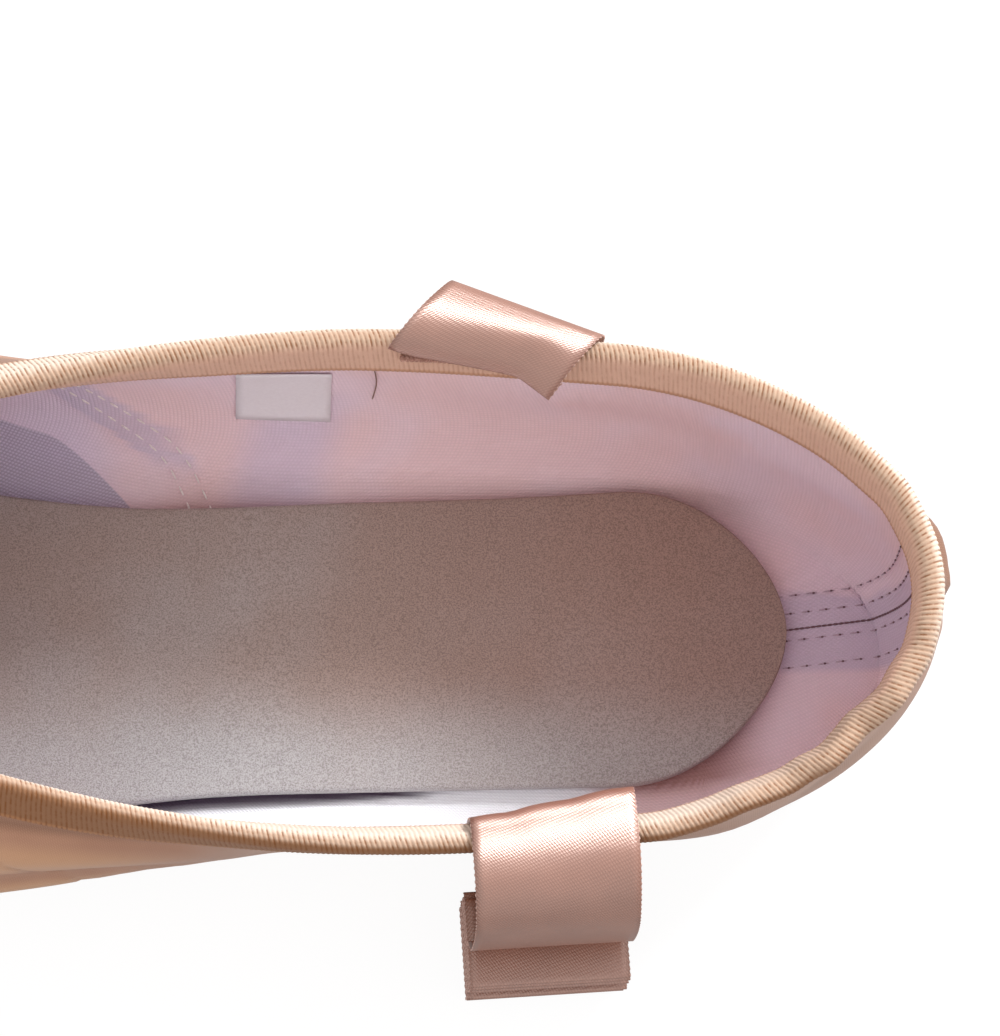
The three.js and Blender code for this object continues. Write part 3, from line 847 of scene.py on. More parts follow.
class PointeColours(bpy.types.PropertyGroup):
    satin: dyed("Satin", "Peach of the satin upper", "#ab7f68")
    satin_deep: dyed("Satin, deep", "Darker clouds in the satin", "#9f735e")
    # Painted highlight on the crests of the satin's folds.
    satin_painted_highlight: dyed("Satin, lit fold", "Crests of the folds in the satin", "#c99a74")
    # Painted shade in the hollows of the satin's folds, low on the left quarter and in the gathers
    # at the back.
    satin_painted_shade: dyed("Satin, fold", "Hollows of the folds in the satin", "#74503f")
    lining: dyed("Lining", "Pink of the cotton lining", "#efd7e1")
    lining_peach: dyed("Lining, peach", "Warmer clouds in the lining", "#f0cfd1")
    mauve: dyed("Lining, mauve", "Cooler patch at the middle of the lining", "#d8c8de")
    tape: dyed("Heel tape", "Tape over the heel seam and the side seams", "#c9bad0")
    # Painted light on the left lining, where the key light falls.
    pale: dyed("Lining, pale", "Palest patch of the left lining", "#fbfbff")
    # Painted shade where the stiff wing behind the lining keeps out the light that comes through
    # it.
    wing: dyed("Wing", "Lining where the stiff wing lies behind it", "#cabdd1")
    # Painted shade where the lining meets the insole.
    foot: dyed("Lining, foot", "Lining close to the insole", "#8a5340")
    shade: dyed("Lining, shade", "Deepest part of the lining towards the toe", "#4c404f")
    tape_top: dyed("Binding", "Top of the ribbed tape", "#bd9f88")
    # Painted light on the faces of the tape that turn towards the key light.
    tape_lit: dyed("Binding, worn", "Rim of the tape that is worn to cream", "#dccab9")
    # Painted shade on inner faces of the tape that turn away from the key light.
    tape_inner_shaded: dyed("Binding, inside", "Inner face of the tape", "#d0a892")
    # Painted shade on outer faces of the tape that turn away from the key light.
    tape_outer_shaded: dyed("Binding, outside", "Outer face of the tape", "#8f6648")
    tape_hem: dyed("Binding, hem", "Lower hem of the tape", "#b57c50")
    # Painted shade in the gaps between the ribs.
    tape_rib_shade: dyed("Binding, gaps", "Gaps between the ribs", "#7d4a22")
    ribbon: dyed("Ribbon", "Body colour of the ribbons", "#7e4c3a")
    ribbon_deep: dyed("Ribbon, deep", "Darker clouds in the ribbons", "#734231")
    suede: dyed("Suede", "Nap of the insole", "#b0a6a3")
    suede_pink: dyed("Suede, pink", "Warmer clouds in the nap", "#a8948b")
    # Painted light on the left of the insole, where the key light falls.
    suede_lit: dyed("Suede, grey", "Cooler nap on the left of the insole", "#b9babb")
    # Painted shade towards the heel.
    suede_shade: dyed("Suede, heel", "Browner nap at the heel", "#a17d6f")
    leather: dyed("Leather", "Bare leather of the outsole", "#b08a66")
    leather_scuff: dyed("Leather, scuffed", "Scuffs on the outsole", "#8c6a4c")


class PointeStage(bpy.types.PropertyGroup):
    azimuth: FloatProperty(
        name="Camera azimuth", description="Turn of the camera round the shoe",
        default=math.radians(168.75), subtype="ANGLE",
    )
    elevation: FloatProperty(
        name="Camera elevation", description="Height of the camera above the horizon",
        default=math.radians(75.5), subtype="ANGLE",
    )
    roll: FloatProperty(
        name="Camera roll", description="Turn of the camera about its line of sight",
        default=math.radians(11.52), subtype="ANGLE",
    )
    distance: FloatProperty(
        name="Camera distance", description="Distance of the camera from its target",
        default=0.6, unit="LENGTH", subtype="DISTANCE",
    )
    lens: FloatProperty(
        name="Lens", description="Focal length on a 36 mm sensor", default=152.8, subtype="NONE",
    )
    target: FloatVectorProperty(
        name="Camera target", description="Point that the camera looks at",
        default=(0.03125, -0.01185, 0.035), subtype="TRANSLATION", unit="LENGTH",
    )
    key_strength: FloatProperty(
        name="Key light", description="Strength of the light from the far side", default=4.2,
    )
    key_azimuth: FloatProperty(
        name="Key azimuth", description="Direction that the key light comes from",
        default=math.radians(-42), subtype="ANGLE",
    )
    key_elevation: FloatProperty(
        name="Key elevation", description="Height of the key light above the horizon",
        default=math.radians(30), subtype="ANGLE",
    )
    gleam_strength: FloatProperty(
        name="Gleam light", description="Strength of the light that only glossy cloth shows",
        default=3.0,
    )
    fill_strength: FloatProperty(
        name="Fill light", description="Strength of the soft light from all round", default=0.95,
    )


class PointeSettings(bpy.types.PropertyGroup):
    sizes: PointerProperty(type=PointeSizes, name="Sizes", description="Sizes of fine things")
    colours: PointerProperty(type=PointeColours, name="Colours", description="Colours of cloth")
    stage: PointerProperty(type=PointeStage, name="Stage", description="Camera and light")


# Pieces

# Places in the upper: spans are (start, end, soft edge), and the others are where a change starts
# and ends, along the shoe or below the topline.
BACK_FADE = (0, 3)
TAPE_LIFT, TAPE_EDGE, TAPE_FADE = 0.4, 0.3, 2
SEAM_LIFT, SEAM_EDGE, SEAM_FOOT = 0.35, 0.35, (6, 9)
# Painted shade on the lower left quarter of the satin towards the toe: its strength, and where it
# starts and is full, below the topline and along the shoe.
LOW_SHADE_TONE, LOW_SHADE_DEPTHS, LOW_SHADE_ALONG = 0.6, (18, 28), (92, 104)
# Where the painted shade on the gathered satin at the back of the heel lies, along the shoe and
# below the topline.
GATHER_SPAN, GATHER_DEPTHS = (-1, 5, 2), (3, 17, 3)
# Painted shade where the lining meets the insole: its strength on the right, its reach, and where
# it lies on the right and on the left.
FOOT_TONE, FOOT_REACH, FOOT_SPAN, FOOT_SPAN_LEFT = 0.5, 1.1, (22, 116, 6), (24, 44, 6)
# Where the painted shade by the insole is deeper and reaches further up the lining: its strength,
# its extra reach and its span.
DEEP_SHADE_TONE, DEEP_SHADE_REACH, DEEP_SHADE_SPAN = 0.45, 0.8, (90, 108, 7)
SHADE_START, SHADE_END, SHADE_REACH = 0.4, 0.6, 2.6
SHADE_GROWS, SHADE_SPAN = (66, 100), (70, 116, 6)
# Where the painted light on the left lining lies along the shoe.
LIT_PATCH_SPAN = (44, 116, 5)
MAUVE_TONE, MAUVE_SLANT, MAUVE_SPAN, MAUVE_DEPTHS = 0.9, 0.25, (76, 88, 3.5), (16, 30)
MAUVE_TOE_TONE, MAUVE_TOE = 0.8, (112, 122)
GROOVE, BACK_GROOVE_WIDTH, SIDE_GROOVE_WIDTH = 0.35, 0.7, 0.6
BACK_WELT, BACK_WELT_AT, BACK_WELT_WIDTH, BACK_SEAM_FADE = 0.3, 2, 1.4, (8, 12)
SIDE_GROOVE_FOOT = (5, 9)
PLEAT_CENTRE, PLEAT_RADIUS, PLEAT_WAVES, PLEAT_DEPTH = 184, 24, 22, 0.9
PLEAT_STARTS, PLEAT_ENDS, PLEAT_UNDER = (-2, 1), (8, 24), (-0.1, 0.5)


class POINTE_OT_upper(bpy.types.Operator):
    """Satin upper with its cotton lining"""

    bl_idname = "pointe.upper"
    bl_label = "Upper"

    def execute(self, context):
        colours = context.scene.pointe.colours
        wall = Wall()
        stations, rows = wall.depth.shape
        points, faces, uv, face_material, blocks, start = [], [], [], [], {}, 0
        marks = {}
        for side in (1, -1):
            outer, fold_light_and_shade = self.satin(wall, side)
            inner, zones = self.lining(wall, side)
            zones["fold_light_and_shade"] = fold_light_and_shade
            for material, (face, grid) in enumerate((("outer", outer), ("inner", inner))):
                blocks[side, face] = start
                points.append((grid if side > 0 else mirrored(grid)).reshape(-1, 3))
                faces += grid_faces(stations, rows, start, flip=(side < 0) != (face == "inner"))
                face_material += [material] * ((stations - 1) * (rows - 1))
                uv.append(np.dstack((wall.run, wall.depth)).reshape(-1, 2))
                for key, values in zones.items():
                    values = np.broadcast_to(values, wall.depth.shape).ravel()
                    marks.setdefault(key, []).append(values)
                start += stations * rows
        rims = self.rims(wall, blocks) + self.toe_caps(wall, blocks, start)
        points.append(np.array((wall.toe_centre, wall.toe_centre - (BOX_WALL, 0, 0))))
        uv.append(np.array(((LENGTH, 0), (LENGTH, 0))))
        faces += rims
        face_material += [0] * len(rims)
        shell = mesh_object(
            "satin_upper", np.concatenate(points), faces,
            (satin_material(colours), lining_material(colours)),
            {key: np.concatenate((*values, np.zeros(2))) for key, values in marks.items()},
            np.concatenate(uv), face_material,
        )
        frame_piece(shell, "satin", "upper")
        return {"FINISHED"}

    def satin(self, wall, side):
        """The satin's face, and a mark for painted highlight on the crests of its folds and welt
        and for painted shade in their hollows and seam grooves, low on the left quarter and in the
        gathers at the back.
        """
        along = wall.stations
        crease = folds_relief(SATIN_FOLDS, along, wall.depth, side) * smooth(wall.run, *BACK_FADE)
        crease = crease + self.seams(wall)
        if side > 0:
            # Painted shade on the lower left quarter, towards the toe.
            painted_shade = LOW_SHADE_TONE * smooth(wall.depth, *LOW_SHADE_DEPTHS) * smooth(along, *LOW_SHADE_ALONG)
        else:
            # Painted shade on the gathers at the back of the heel.
            painted_shade = GATHER_SHADE * band(along, *GATHER_SPAN) * band(wall.depth, *GATHER_DEPTHS)
        fold_light_and_shade = crease - painted_shade
        crease = np.where(crease < 0, CREASE_DEPTH * np.tanh(crease / CREASE_DEPTH), crease)
        outer = wall.outer - wall.inward * (crease + self.pleats(wall))[..., None]
        return wall.drawn_in(outer, side), fold_light_and_shade

    @staticmethod
    def lining(wall, side):
        """The lining's face with its tape, seams and soft folds, and marks for its colours and for
        its painted light and shade.
        """
        along = wall.stations
        tape = band(side * wall.outer[..., 1], *TAPE_BAND, TAPE_EDGE)
        tape *= 1 - smooth(along, TAPE_END, TAPE_END + TAPE_FADE)
        seam = band(seam_distance(along, wall.depth), *SEAM_BAND, SEAM_EDGE)
        seam *= smooth(wall.outer[..., 2], *SEAM_FOOT)
        folds = folds_relief(LINING_FOLDS, along, wall.depth, side) * smooth(wall.run, *BACK_FADE)
        inner = wall.drawn_in(wall.inner(TAPE_LIFT * tape + SEAM_LIFT * seam + folds), side)
        edge = column("flat", along) * heel_round(along) + INSOLE_OVERLAP + side * sway_at(along)
        beside = inner[..., 1] - edge
        # Span where the painted shade by the insole is deeper and reaches further.
        painted_lighting = band(along, *DEEP_SHADE_SPAN)
        # Painted shade that fades away from the insole's edge.
        foot = np.exp(-np.maximum(0, beside) / (FOOT_REACH + DEEP_SHADE_REACH * painted_lighting))
        foot_shade_right = FOOT_TONE * band(along, *FOOT_SPAN) + DEEP_SHADE_TONE * painted_lighting
        foot = foot * (band(along, *FOOT_SPAN_LEFT) if side > 0 else foot_shade_right)
        shade_end = SHADE_END + SHADE_REACH * smooth(along, *SHADE_GROWS)
        shade = (1 - smooth(beside, SHADE_START, shade_end)) * band(along, *SHADE_SPAN)
        slanted = along - MAUVE_SLANT * wall.depth
        mauve = MAUVE_TONE * band(slanted, *MAUVE_SPAN) * smooth(wall.depth, *MAUVE_DEPTHS)
        return inner, {
            # Where the painted shade over the wing lies.
            "wing": wing_distance(along, wall.depth),
            "tape": np.maximum(tape, seam),
            "foot": foot,
            "mauve": np.maximum(mauve, MAUVE_TOE_TONE * smooth(along, *MAUVE_TOE)),
            # Painted light on the left lining.
            "pale": band(along, *LIT_PATCH_SPAN) * (side > 0),
            "shade": shade * (side > 0),
        }

    @staticmethod
    def seams(wall):
        """Grooves of the back seam and of the side seams in the satin."""
        welt = BACK_WELT * np.exp(-(((wall.run - BACK_WELT_AT) / BACK_WELT_WIDTH) ** 2))
        back = welt - GROOVE * np.exp(-((wall.run / BACK_GROOVE_WIDTH) ** 2))
        back = back * (1 - smooth(wall.stations, *BACK_SEAM_FADE))
        away = seam_distance(wall.stations, wall.depth)
        side = GROOVE * np.exp(-((away / SIDE_GROOVE_WIDTH) ** 2))
        return back - side * smooth(wall.outer[..., 2], *SIDE_GROOVE_FOOT)

    @staticmethod
    def pleats(wall):
        """Pleats gathered under the toe, running out from the front of the sole."""
        forward = wall.outer[..., 0] + HEEL_CENTRE - PLEAT_CENTRE
        across = wall.outer[..., 1]
        wave = 0.5 + 0.5 * np.cos(np.arctan2(across, forward) * PLEAT_WAVES)
        away = np.hypot(forward, across) - PLEAT_RADIUS
        under = smooth(wall.inward[..., 2], *PLEAT_UNDER)
        reach = smooth(away, *PLEAT_STARTS) * (1 - smooth(away, *PLEAT_ENDS)) * under
        return -PLEAT_DEPTH * wave * reach * (forward > 0)

    @staticmethod
    def rims(wall, blocks):
        """Faces that join satin and lining at the topline and round the opening underneath."""
        rows, top, faces = wall.ROWS, wall.ROWS - 1, []
        for side in (1, -1):
            for i, a in enumerate(wall.along[:-1]):
                out, inn = (blocks[side, face] + i * rows for face in ("outer", "inner"))
                quads = []
                if a < THROAT:
                    quads.append((out + top, inn + top, inn + rows + top, out + rows + top))
                if OPENING_START <= a < OPENING_END:
                    quads.append((out, out + rows, inn + rows, inn))
                faces += quads if side > 0 else [q[::-1] for q in quads]
        return faces

    @staticmethod
    def toe_caps(wall, blocks, centre):
        """Faces that close the toe, inside and outside, round the middle of the platform."""
        last = (len(wall.along) - 1) * wall.ROWS
        faces = []
        for side in (1, -1):
            for face, middle in (("outer", centre), ("inner", centre + 1)):
                first = blocks[side, face] + last
                for j in range(wall.ROWS - 1):
                    tri = (first + j, first + j + 1, middle)
                    faces.append(tri if (side > 0) == (face == "outer") else tri[::-1])
        return faces


PLATE_STATIONS, PLATE_ACROSS, PLATE_TURN = 120, 25, 5
SOLE_EDGE, INSOLE_EDGE = 0.7, 0.6


def plate_object(name, span, half_at, bottom_at, thick, edge, material, swayed=False):
    """A plate along the sole line with rounded edges and ends."""
    start, end = span[:2]
    ease = (1 - np.cos(np.pi * np.arange(PLATE_STATIONS + 1) / PLATE_STATIONS)) / 2
    along = start + (end - start) * ease
    half = half_at(along) * end_round(along, *span)
    turn = np.linspace(0, math.pi / 2, PLATE_TURN)
    across = np.linspace(1, -1, PLATE_ACROSS)[1:-1]
    rings = []
    for a, h, b in zip(along, half, bottom_at(along)):
        e = min(edge, h)
        low = np.c_[h - e + e * np.sin(turn), b + edge - edge * np.cos(turn)]
        high = np.c_[h - e + e * np.cos(turn), b + thick - edge + edge * np.sin(turn)]
        side = np.r_[low, high]
        middle = np.c_[across * (h - e), np.full(len(across), b + thick)]
        under = np.c_[across[::-1] * (h - e), np.full(len(across), b)]
        ring = np.concatenate((side, middle, side[::-1] * (-1, 1), under))
        ring = ring + (sway_at(a) if swayed else 0.0, 0)
        rings.append(np.c_[np.full(len(ring), a - HEEL_CENTRE), ring])
    points = np.concatenate(rings)
    faces = grid_faces(len(rings), len(rings[0]), closed=True)
    return mesh_object(name, points, faces, (material,), uv=points[:, :2])


class POINTE_OT_soles(bpy.types.Operator):
    """Leather outsole and suede insole"""

    bl_idname = "pointe.soles"
    bl_label = "Soles"

    def execute(self, context):
        colours = context.scene.pointe.colours
        outsole = plate_object(
            "leather_outsole", SOLE_SPAN,
            lambda a: column("flat", a) - SOLE_MARGIN - SOLE_WAIST * arch_share(a),
            rise, SOLE_THICK, SOLE_EDGE, leather_material(colours),
        )
        frame_piece(outsole, "leather", "outsole")
        insole = plate_object(
            "suede_insole", INSOLE_SPAN,
            lambda a: column("flat", a) * heel_round(a) + INSOLE_OVERLAP,
            lambda a: base_z(a) + wall_thickness(a) + GAP,
            INSOLE_THICK, INSOLE_EDGE, suede_material(colours), swayed=True,
        )
        frame_piece(insole, "suede", "insole")
        return {"FINISHED"}


# Puckers of the binding: distance along its loop from the heel, width, rise and sideways push.
PUCKERS = (
    (16, 2.2, 0.5, 0.3), (22, 2.0, -0.5, -0.3), (28, 2.4, 0.6, 0.4), (34, 2.2, -0.4, 0.3),
    (41, 2.6, 0.4, -0.3), (9, 2.4, -0.4, 0.3), (52, 4.0, 0.3, 0.2), (-14, 3.0, 0.3, 0.2),
    (-26, 3.4, -0.3, 0.2), (-44, 4.0, 0.3, -0.2),
)
BINDING_HALF, BINDING_DEPTH = 1.85, 3.8
BINDING_LEAN, BINDING_NARROW, BINDING_NARROW_SPAN = 0.22, 0.35, (10, 138, 10)
BINDING_FLARE, BINDING_THROAT_FLARE = 0.35, 0.9
# At the throat the tape stands more upright, is narrower and has fainter painted light and shade
# across its faces.
THROAT_UPRIGHT, THROAT_NARROW, THROAT_FADE = 0.9, 0.2, 0.6
RIB_SLANT, RIB_STEPS = -1.5, 4
# Direction in plan that the key light comes from: faces of the tape turned towards it get painted
# light, those turned away painted shade.
KEY_LIGHT_SIDE = np.array((-0.7, -0.72))
TAPE_TURN, TAPE_SIDE = 11, 5


def topline_frames(wall):
    """Middle of the wall at the topline with its sideways and upward directions, heel to throat."""
    last = wall.throat
    out, inn = wall.outer[: last + 1, -1], wall.inner()[: last + 1, -1]
    middle = (out + inn) / 2
    before = np.concatenate((mirrored(middle[1:2]), middle[:-1]))
    after = np.concatenate((middle[1:], mirrored(middle[-2:-1])))
    lateral = out - inn
    lateral /= np.linalg.norm(lateral, axis=1, keepdims=True)
    up = np.cross(after - before, lateral)
    return middle, lateral, up / np.linalg.norm(up, axis=1, keepdims=True)


class POINTE_OT_binding(bpy.types.Operator):
    """Ribbed tape over the topline"""

    bl_idname = "pointe.binding"
    bl_label = "Binding"

    def execute(self, context):
        sizes = context.scene.pointe.sizes
        run, loop, widths = self.loop(Wall())
        total = run[-1]
        pitch = total / round(total * MM / sizes.rib_pitch)
        count = round(total / pitch) * RIB_STEPS
        at = np.linspace(0, total, count, endpoint=False)
        middle, lateral, up = (points_at(at, run, line) for line in loop)
        slot, flare, half, fade = (np.interp(at, run, values) for values in widths)
        signed = np.where(at > total / 2, at - total, at)
        for place, width, lift, push in PUCKERS:
            share = np.exp(-(((signed - place) / width) ** 2))[:, None]
            middle = middle + (up * lift + lateral * push) * share
        # How far each stretch of tape faces the key light, for its painted light and shade.
        painted_lighting = lateral[:, :2] @ KEY_LIGHT_SIDE
        height_rib = sizes.rib_height / MM
        points, marks = [], {"rib": [], "height": [], "face": [], "painted_lighting": []}
        across, height, slope, top, skew = self.profile()
        for a, h, f, n, k in zip(across, height, slope, top, skew):
            rib = 0.5 + 0.5 * np.cos(2 * np.pi * (at / pitch + RIB_SLANT * k))
            out = a * (half + f * flare) + a * height_rib * (rib - 0.5)
            tall = GAP + h + n * height_rib * (rib - 0.5)
            points.append(middle + lateral * out[:, None] + up * tall[:, None])
            for key, values in zip(marks, (rib, np.full(count, h), a * fade, a * painted_lighting)):
                marks[key].append(values)
        blank = np.zeros(count)
        for a, h in ((-1, -BINDING_DEPTH), (-1, GAP), (1, GAP), (1, -BINDING_DEPTH)):
            out = a * (slot + (flare if h < 0 else 0))
            points.append(middle + lateral * out[:, None] + up * h)
            for key, values in zip(marks, (blank, np.full(count, h), blank, blank)):
                marks[key].append(values)
        girth = run_along(np.c_[across * BINDING_HALF, height])
        marks["girth"] = [np.full(count, g) for g in (*girth, 0, 0, 0, 0)]
        rings = np.stack(points, 1)
        rings = np.concatenate((rings, rings[:1]))
        for key, values in marks.items():
            values = np.stack(values, 1)
            marks[key] = np.concatenate((values, values[:1])).ravel()
        faces = grid_faces(len(rings), rings.shape[1], closed=True)
        material = binding_material(context.scene.pointe.colours)
        tape = mesh_object("ribbed_binding", rings.reshape(-1, 3), faces, (material,), marks)
        frame_piece(tape, "tape", "collar_binding")
        return {"FINISHED"}

    def loop(self, wall):
        """The topline's whole loop: its run, its frames, and the tape's widths and the fade of its
        painted light and shade.
        """
        along = wall.along[: wall.throat + 1]
        vamp = smooth(along, THROAT_ROUND_START, THROAT)
        middle, lateral, up = topline_frames(wall)
        lateral, up = self.turned(lateral, up, THROAT_UPRIGHT * vamp, BINDING_LEAN * (1 - vamp))
        frames = [
            np.concatenate((a, mirrored(a[1:-1])[::-1], a[:1])) for a in (middle, lateral, up)
        ]
        slot = wall_thickness(along) / 2 + GAP
        flare = BINDING_FLARE + (BINDING_THROAT_FLARE - BINDING_FLARE) * vamp
        half = BINDING_HALF * (1 - THROAT_NARROW * vamp)
        fade = 1 - THROAT_FADE * vamp
        widths = [np.r_[a, a[1:-1][::-1], a[:1]] for a in (slot, flare, half, fade)]
        widths[2][: len(along)] -= BINDING_NARROW * band(along, *BINDING_NARROW_SPAN)
        return run_along(frames[0]), frames, widths

    @staticmethod
    def profile():
        """The tape's section: place across and up, flare, share of the top, slant of its ribs."""
        turn = np.linspace(0, math.pi, TAPE_TURN)
        side = np.linspace(-BINDING_DEPTH, 0, TAPE_SIDE + 1)[:-1]
        flare, none = side / -BINDING_DEPTH, np.zeros(TAPE_SIDE)
        slant = np.linspace(0.6, 1, TAPE_SIDE)
        return (
            np.r_[none + 1, np.cos(turn), none - 1],
            np.r_[side, np.sin(turn) * BINDING_HALF, side[::-1]],
            np.r_[flare, np.zeros(TAPE_TURN), flare[::-1]],
            np.r_[none, np.sin(turn), none],
            np.r_[-slant[::-1], np.cos(turn) * -0.5, slant],
        )

    @staticmethod
    def turned(lateral, up, upright, outward):
        """The tape's directions, turned towards upright and outward by shares."""
        along = np.cross(lateral, up)
        up = up + upright[:, None] * (0, 0, 1) + outward[:, None] * lateral
        up -= along * np.sum(up * along, axis=1, keepdims=True)
        up /= np.linalg.norm(up, axis=1, keepdims=True)
        return np.cross(up, along), up


# Ribbons: name, side, place along the shoe, slant towards the heel and lean of the strip; how far
# the sewn end is pushed outwards, from heel edge to toe edge; where along the strip that push
# starts, is full, lets go and is gone; how much the toe edge of the end is raised; where the strip
# twists and how much; the line from the sewn end over the binding to the folds, as (out, height);
# and the folds' inner and outer reach, top and pitch.
RIBBONS = (
    (
        "ribbon_left", 1, 54.5, 4.0, 0.0,
        (-1.42, -1.3, -0.9, -0.3, -0.05, 0.3, 0.95, 1.1, 1.42), (-2, -1, 18, 34), 0.0, (27, 0.2),
        ((-3.4, 39.5), (-3.4, 33.0), (-4.2, 31.8), (-4.9, 33.0), (-5.0, 38.5), (-4.2, 42.6),
         (-2.2, 43.9), (0.6, 44.9), (3.4, 45.2), (6.2, 44.8), (8.8, 43.4), (10.8, 40.8),
         (11.8, 36.5), (12.0, 30.0), (11.6, 23.0), (9.6, 17.0)),
        (2.0, 16.2, 15.9, 0.445),
    ),
    (
        "ribbon_right", -1, 62.4, 20.0, 0.364,
        (-0.3, 0.4, 1.0, 0.6, 0.0, -0.6, -1.2, -1.8, -2.0), (-2, -1, 5, 16), 0.13, (25, 0.0),
        ((-1.6, 44.6), (-2.8, 44.2), (-3.5, 43.7), (-4.0, 43.9), (-3.6, 44.6), (-2.4, 45.6),
         (-0.4, 46.5), (1.4, 46.8), (2.9, 46.5), (4.5, 45.6), (5.9, 44.4), (6.9, 42.2),
         (7.1, 38.0), (7.0, 30.0), (6.6, 17.0)),
        (0.7, 13.0, 15.9, 0.365),
    ),
)
RIBBON_HALF_THICK, RIBBON_ACROSS = 0.13, 19
LEAN_FADE = (20, 42)
TWIST_RUN, TWIST_HEIGHTS, TWIST_FROM = 9, (20, 36), 2
ROUTE_STEPS, HEM_STEPS = 9, 8
FOLD_SHIFT, FOLD_BOW, FOLD_POINTS, FOLD_TURN, FOLD_FLOOR = 1.6, 0.12, 12, 7, 0.3
PICOT_LENGTH, PICOT_THICK = 0.5, 0.22


def catmull(points, steps):
    """A smooth line through points."""
    p = np.array(points, float)
    p = np.concatenate((2 * p[:1] - p[1:2], p, 2 * p[-1:] - p[-2:-1]))
    t = np.linspace(0, 1, steps, endpoint=False)[:, None]
    spans = []
    for a, b, c, d in zip(p[:-3], p[1:-2], p[2:-1], p[3:]):
        square, cube = 2 * a - 5 * b + 4 * c - d, 3 * b - a - 3 * c + d
        spans.append(0.5 * (2 * b + (c - a) * t + square * t**2 + cube * t**3))
    return np.concatenate(spans + [p[-2:-1]])


def ribbon_line(route, stack, length):
    """The ribbon's line, cut to its length, over the binding and down through its folds."""
    inner, outer, top, pitch = stack
    rng = np.random.default_rng(7)
    line = list(map(tuple, catmull(route, ROUTE_STEPS)))
    radius = pitch / 2
    z, sign = top, 1
    while z > FOLD_FLOOR:
        if sign > 0:
            bend = outer + rng.uniform(-FOLD_SHIFT, 0) - radius
        else:
            bend = inner + rng.uniform(0, FOLD_SHIFT) + radius
        first = line[-1][0]
        for t in np.linspace(0, 1, FOLD_POINTS)[1:]:
            line.append((first + (bend - first) * t, z + FOLD_BOW * math.sin(math.pi * t)))
        for a in np.linspace(0, math.pi, FOLD_TURN)[1:]:
            line.append((bend + sign * radius * math.sin(a), z - radius + radius * math.cos(a)))
        z -= pitch
        sign = -sign
    line = np.array(line)
    line = line[np.r_[True, np.linalg.norm(np.diff(line, axis=0), axis=1) > 1e-3]]
    run = run_along(line)
    keep = run < length
    return np.concatenate((line[keep], [points_at(length, run, line)])), np.r_[run[keep], length]


def ribbon_faces(row, width, length):
    """A ribbon's two faces as grids of points, and its places across and along."""
    _, side, along, slant, lean_share, hem, hem_run, raised, twists, route, stack = row
    across = np.linspace(-width / 2, width / 2, RIBBON_ACROSS)
    twist_start, twist = twists
    line, run = ribbon_line(route, stack, length)
    angle = math.radians(slant)
    wide = np.array((math.cos(angle), side * math.sin(angle), 0))
    out = np.array((-math.sin(angle), side * math.cos(angle), 0))
    middle = topline_half(along) * heel_round(along) - QUARTER_WALL / 2
    origin = np.array((along - HEEL_CENTRE, side * middle, 0))
    tangent = np.gradient(line, axis=0)
    tangent = tangent / np.maximum(np.linalg.norm(tangent, axis=1, keepdims=True), 1e-6)
    normal = np.c_[-tangent[:, 1], tangent[:, 0]]
    start, full, free, gone = hem_run
    held = (smooth(run, start, full) * (1 - smooth(run, free, gone)))[:, None]
    hem_line = catmull(np.c_[np.linspace(-width / 2, width / 2, len(hem)), hem], HEM_STEPS)
    push = held * np.interp(across, *hem_line.T)
    sideways = lean_share * line[:, :1] * (1 - smooth(run, *LEAN_FADE))[:, None]
    fall = smooth(run, twist_start, twist_start + TWIST_RUN) * smooth(line[:, 1], *TWIST_HEIGHTS)
    up = held * raised * across + fall[:, None] * twist * np.minimum(0, across - TWIST_FROM)
    grids = []
    for offset in (RIBBON_HALF_THICK, -RIBBON_HALF_THICK):
        flat = line + normal * offset
        outward = flat[:, :1] + push
        inset = across - lean_share * push - sideways
        grid = origin + inset[..., None] * wide + outward[..., None] * out
        grid[..., 2] += flat[:, 1:] + up
        grids.append(grid)
    return grids, across, run


class POINTE_OT_ribbons(bpy.types.Operator):
    """Satin ribbons over the binding, each with its stack of folds"""

    bl_idname = "pointe.ribbons"
    bl_label = "Ribbons"

    def execute(self, context):
        sizes = context.scene.pointe.sizes
        width, length = sizes.ribbon_width / MM, sizes.ribbon_length / MM
        material = ribbon_material(context.scene.pointe.colours)
        loop = thread_material("Ribbon thread", "#d3b2a6", "#b8958a", 0.6)
        for row in RIBBONS:
            name, side = row[:2]
            grids, across, run = ribbon_faces(row, width, length)
            ring = np.concatenate((grids[0], grids[1][:, ::-1]), 1)
            faces = strip_faces(*ring.shape[:2], flip=side > 0)
            uv = np.dstack(np.meshgrid(np.r_[across, across[::-1]], run)).reshape(-1, 2)
            ribbon = mesh_object("satin_" + name, ring.reshape(-1, 3), faces, (material,), uv=uv)
            frame_piece(ribbon, "ribbon", name, name + "_folds")
            centre = (grids[0] + grids[1]) / 2
            picots = thread_rows(
                name + "_picots", [centre[:, 0], centre[:, -1]], sizes.picot_pitch / MM,
                PICOT_LENGTH, PICOT_THICK, loop,
            )
            frame_piece(picots, "ribbon")
        return {"FINISHED"}


# The right ribbon's sewn end: its span along the shoe, and its place on the binding's inner face.
HEM_SPAN, HEM_INSET, HEM_HEIGHT = (62.0, 74.8), 2.35, 0.6
# Rows of stitches: their height over the lining, depths of the side seams' rows by side, and the
# stretch of the heel's rows over the floor.
STITCH_LIFT, HEEL_LIFT, SEAM_ROW_DEPTHS = 0.42, 0.45, {1: (14, 36), -1: (14, 47)}
HEEL_STATIONS, HEEL_FLOOR_STEPS, HEEL_FLOOR_REACH, HEEL_FLOOR_EDGE = 60, 27, 16, 0.4
ROWS_UNDER_BINDING, SIDE_STEPS, HEM_LINE_STEPS, LOOSE_STEPS = 4, 60, 30, 24


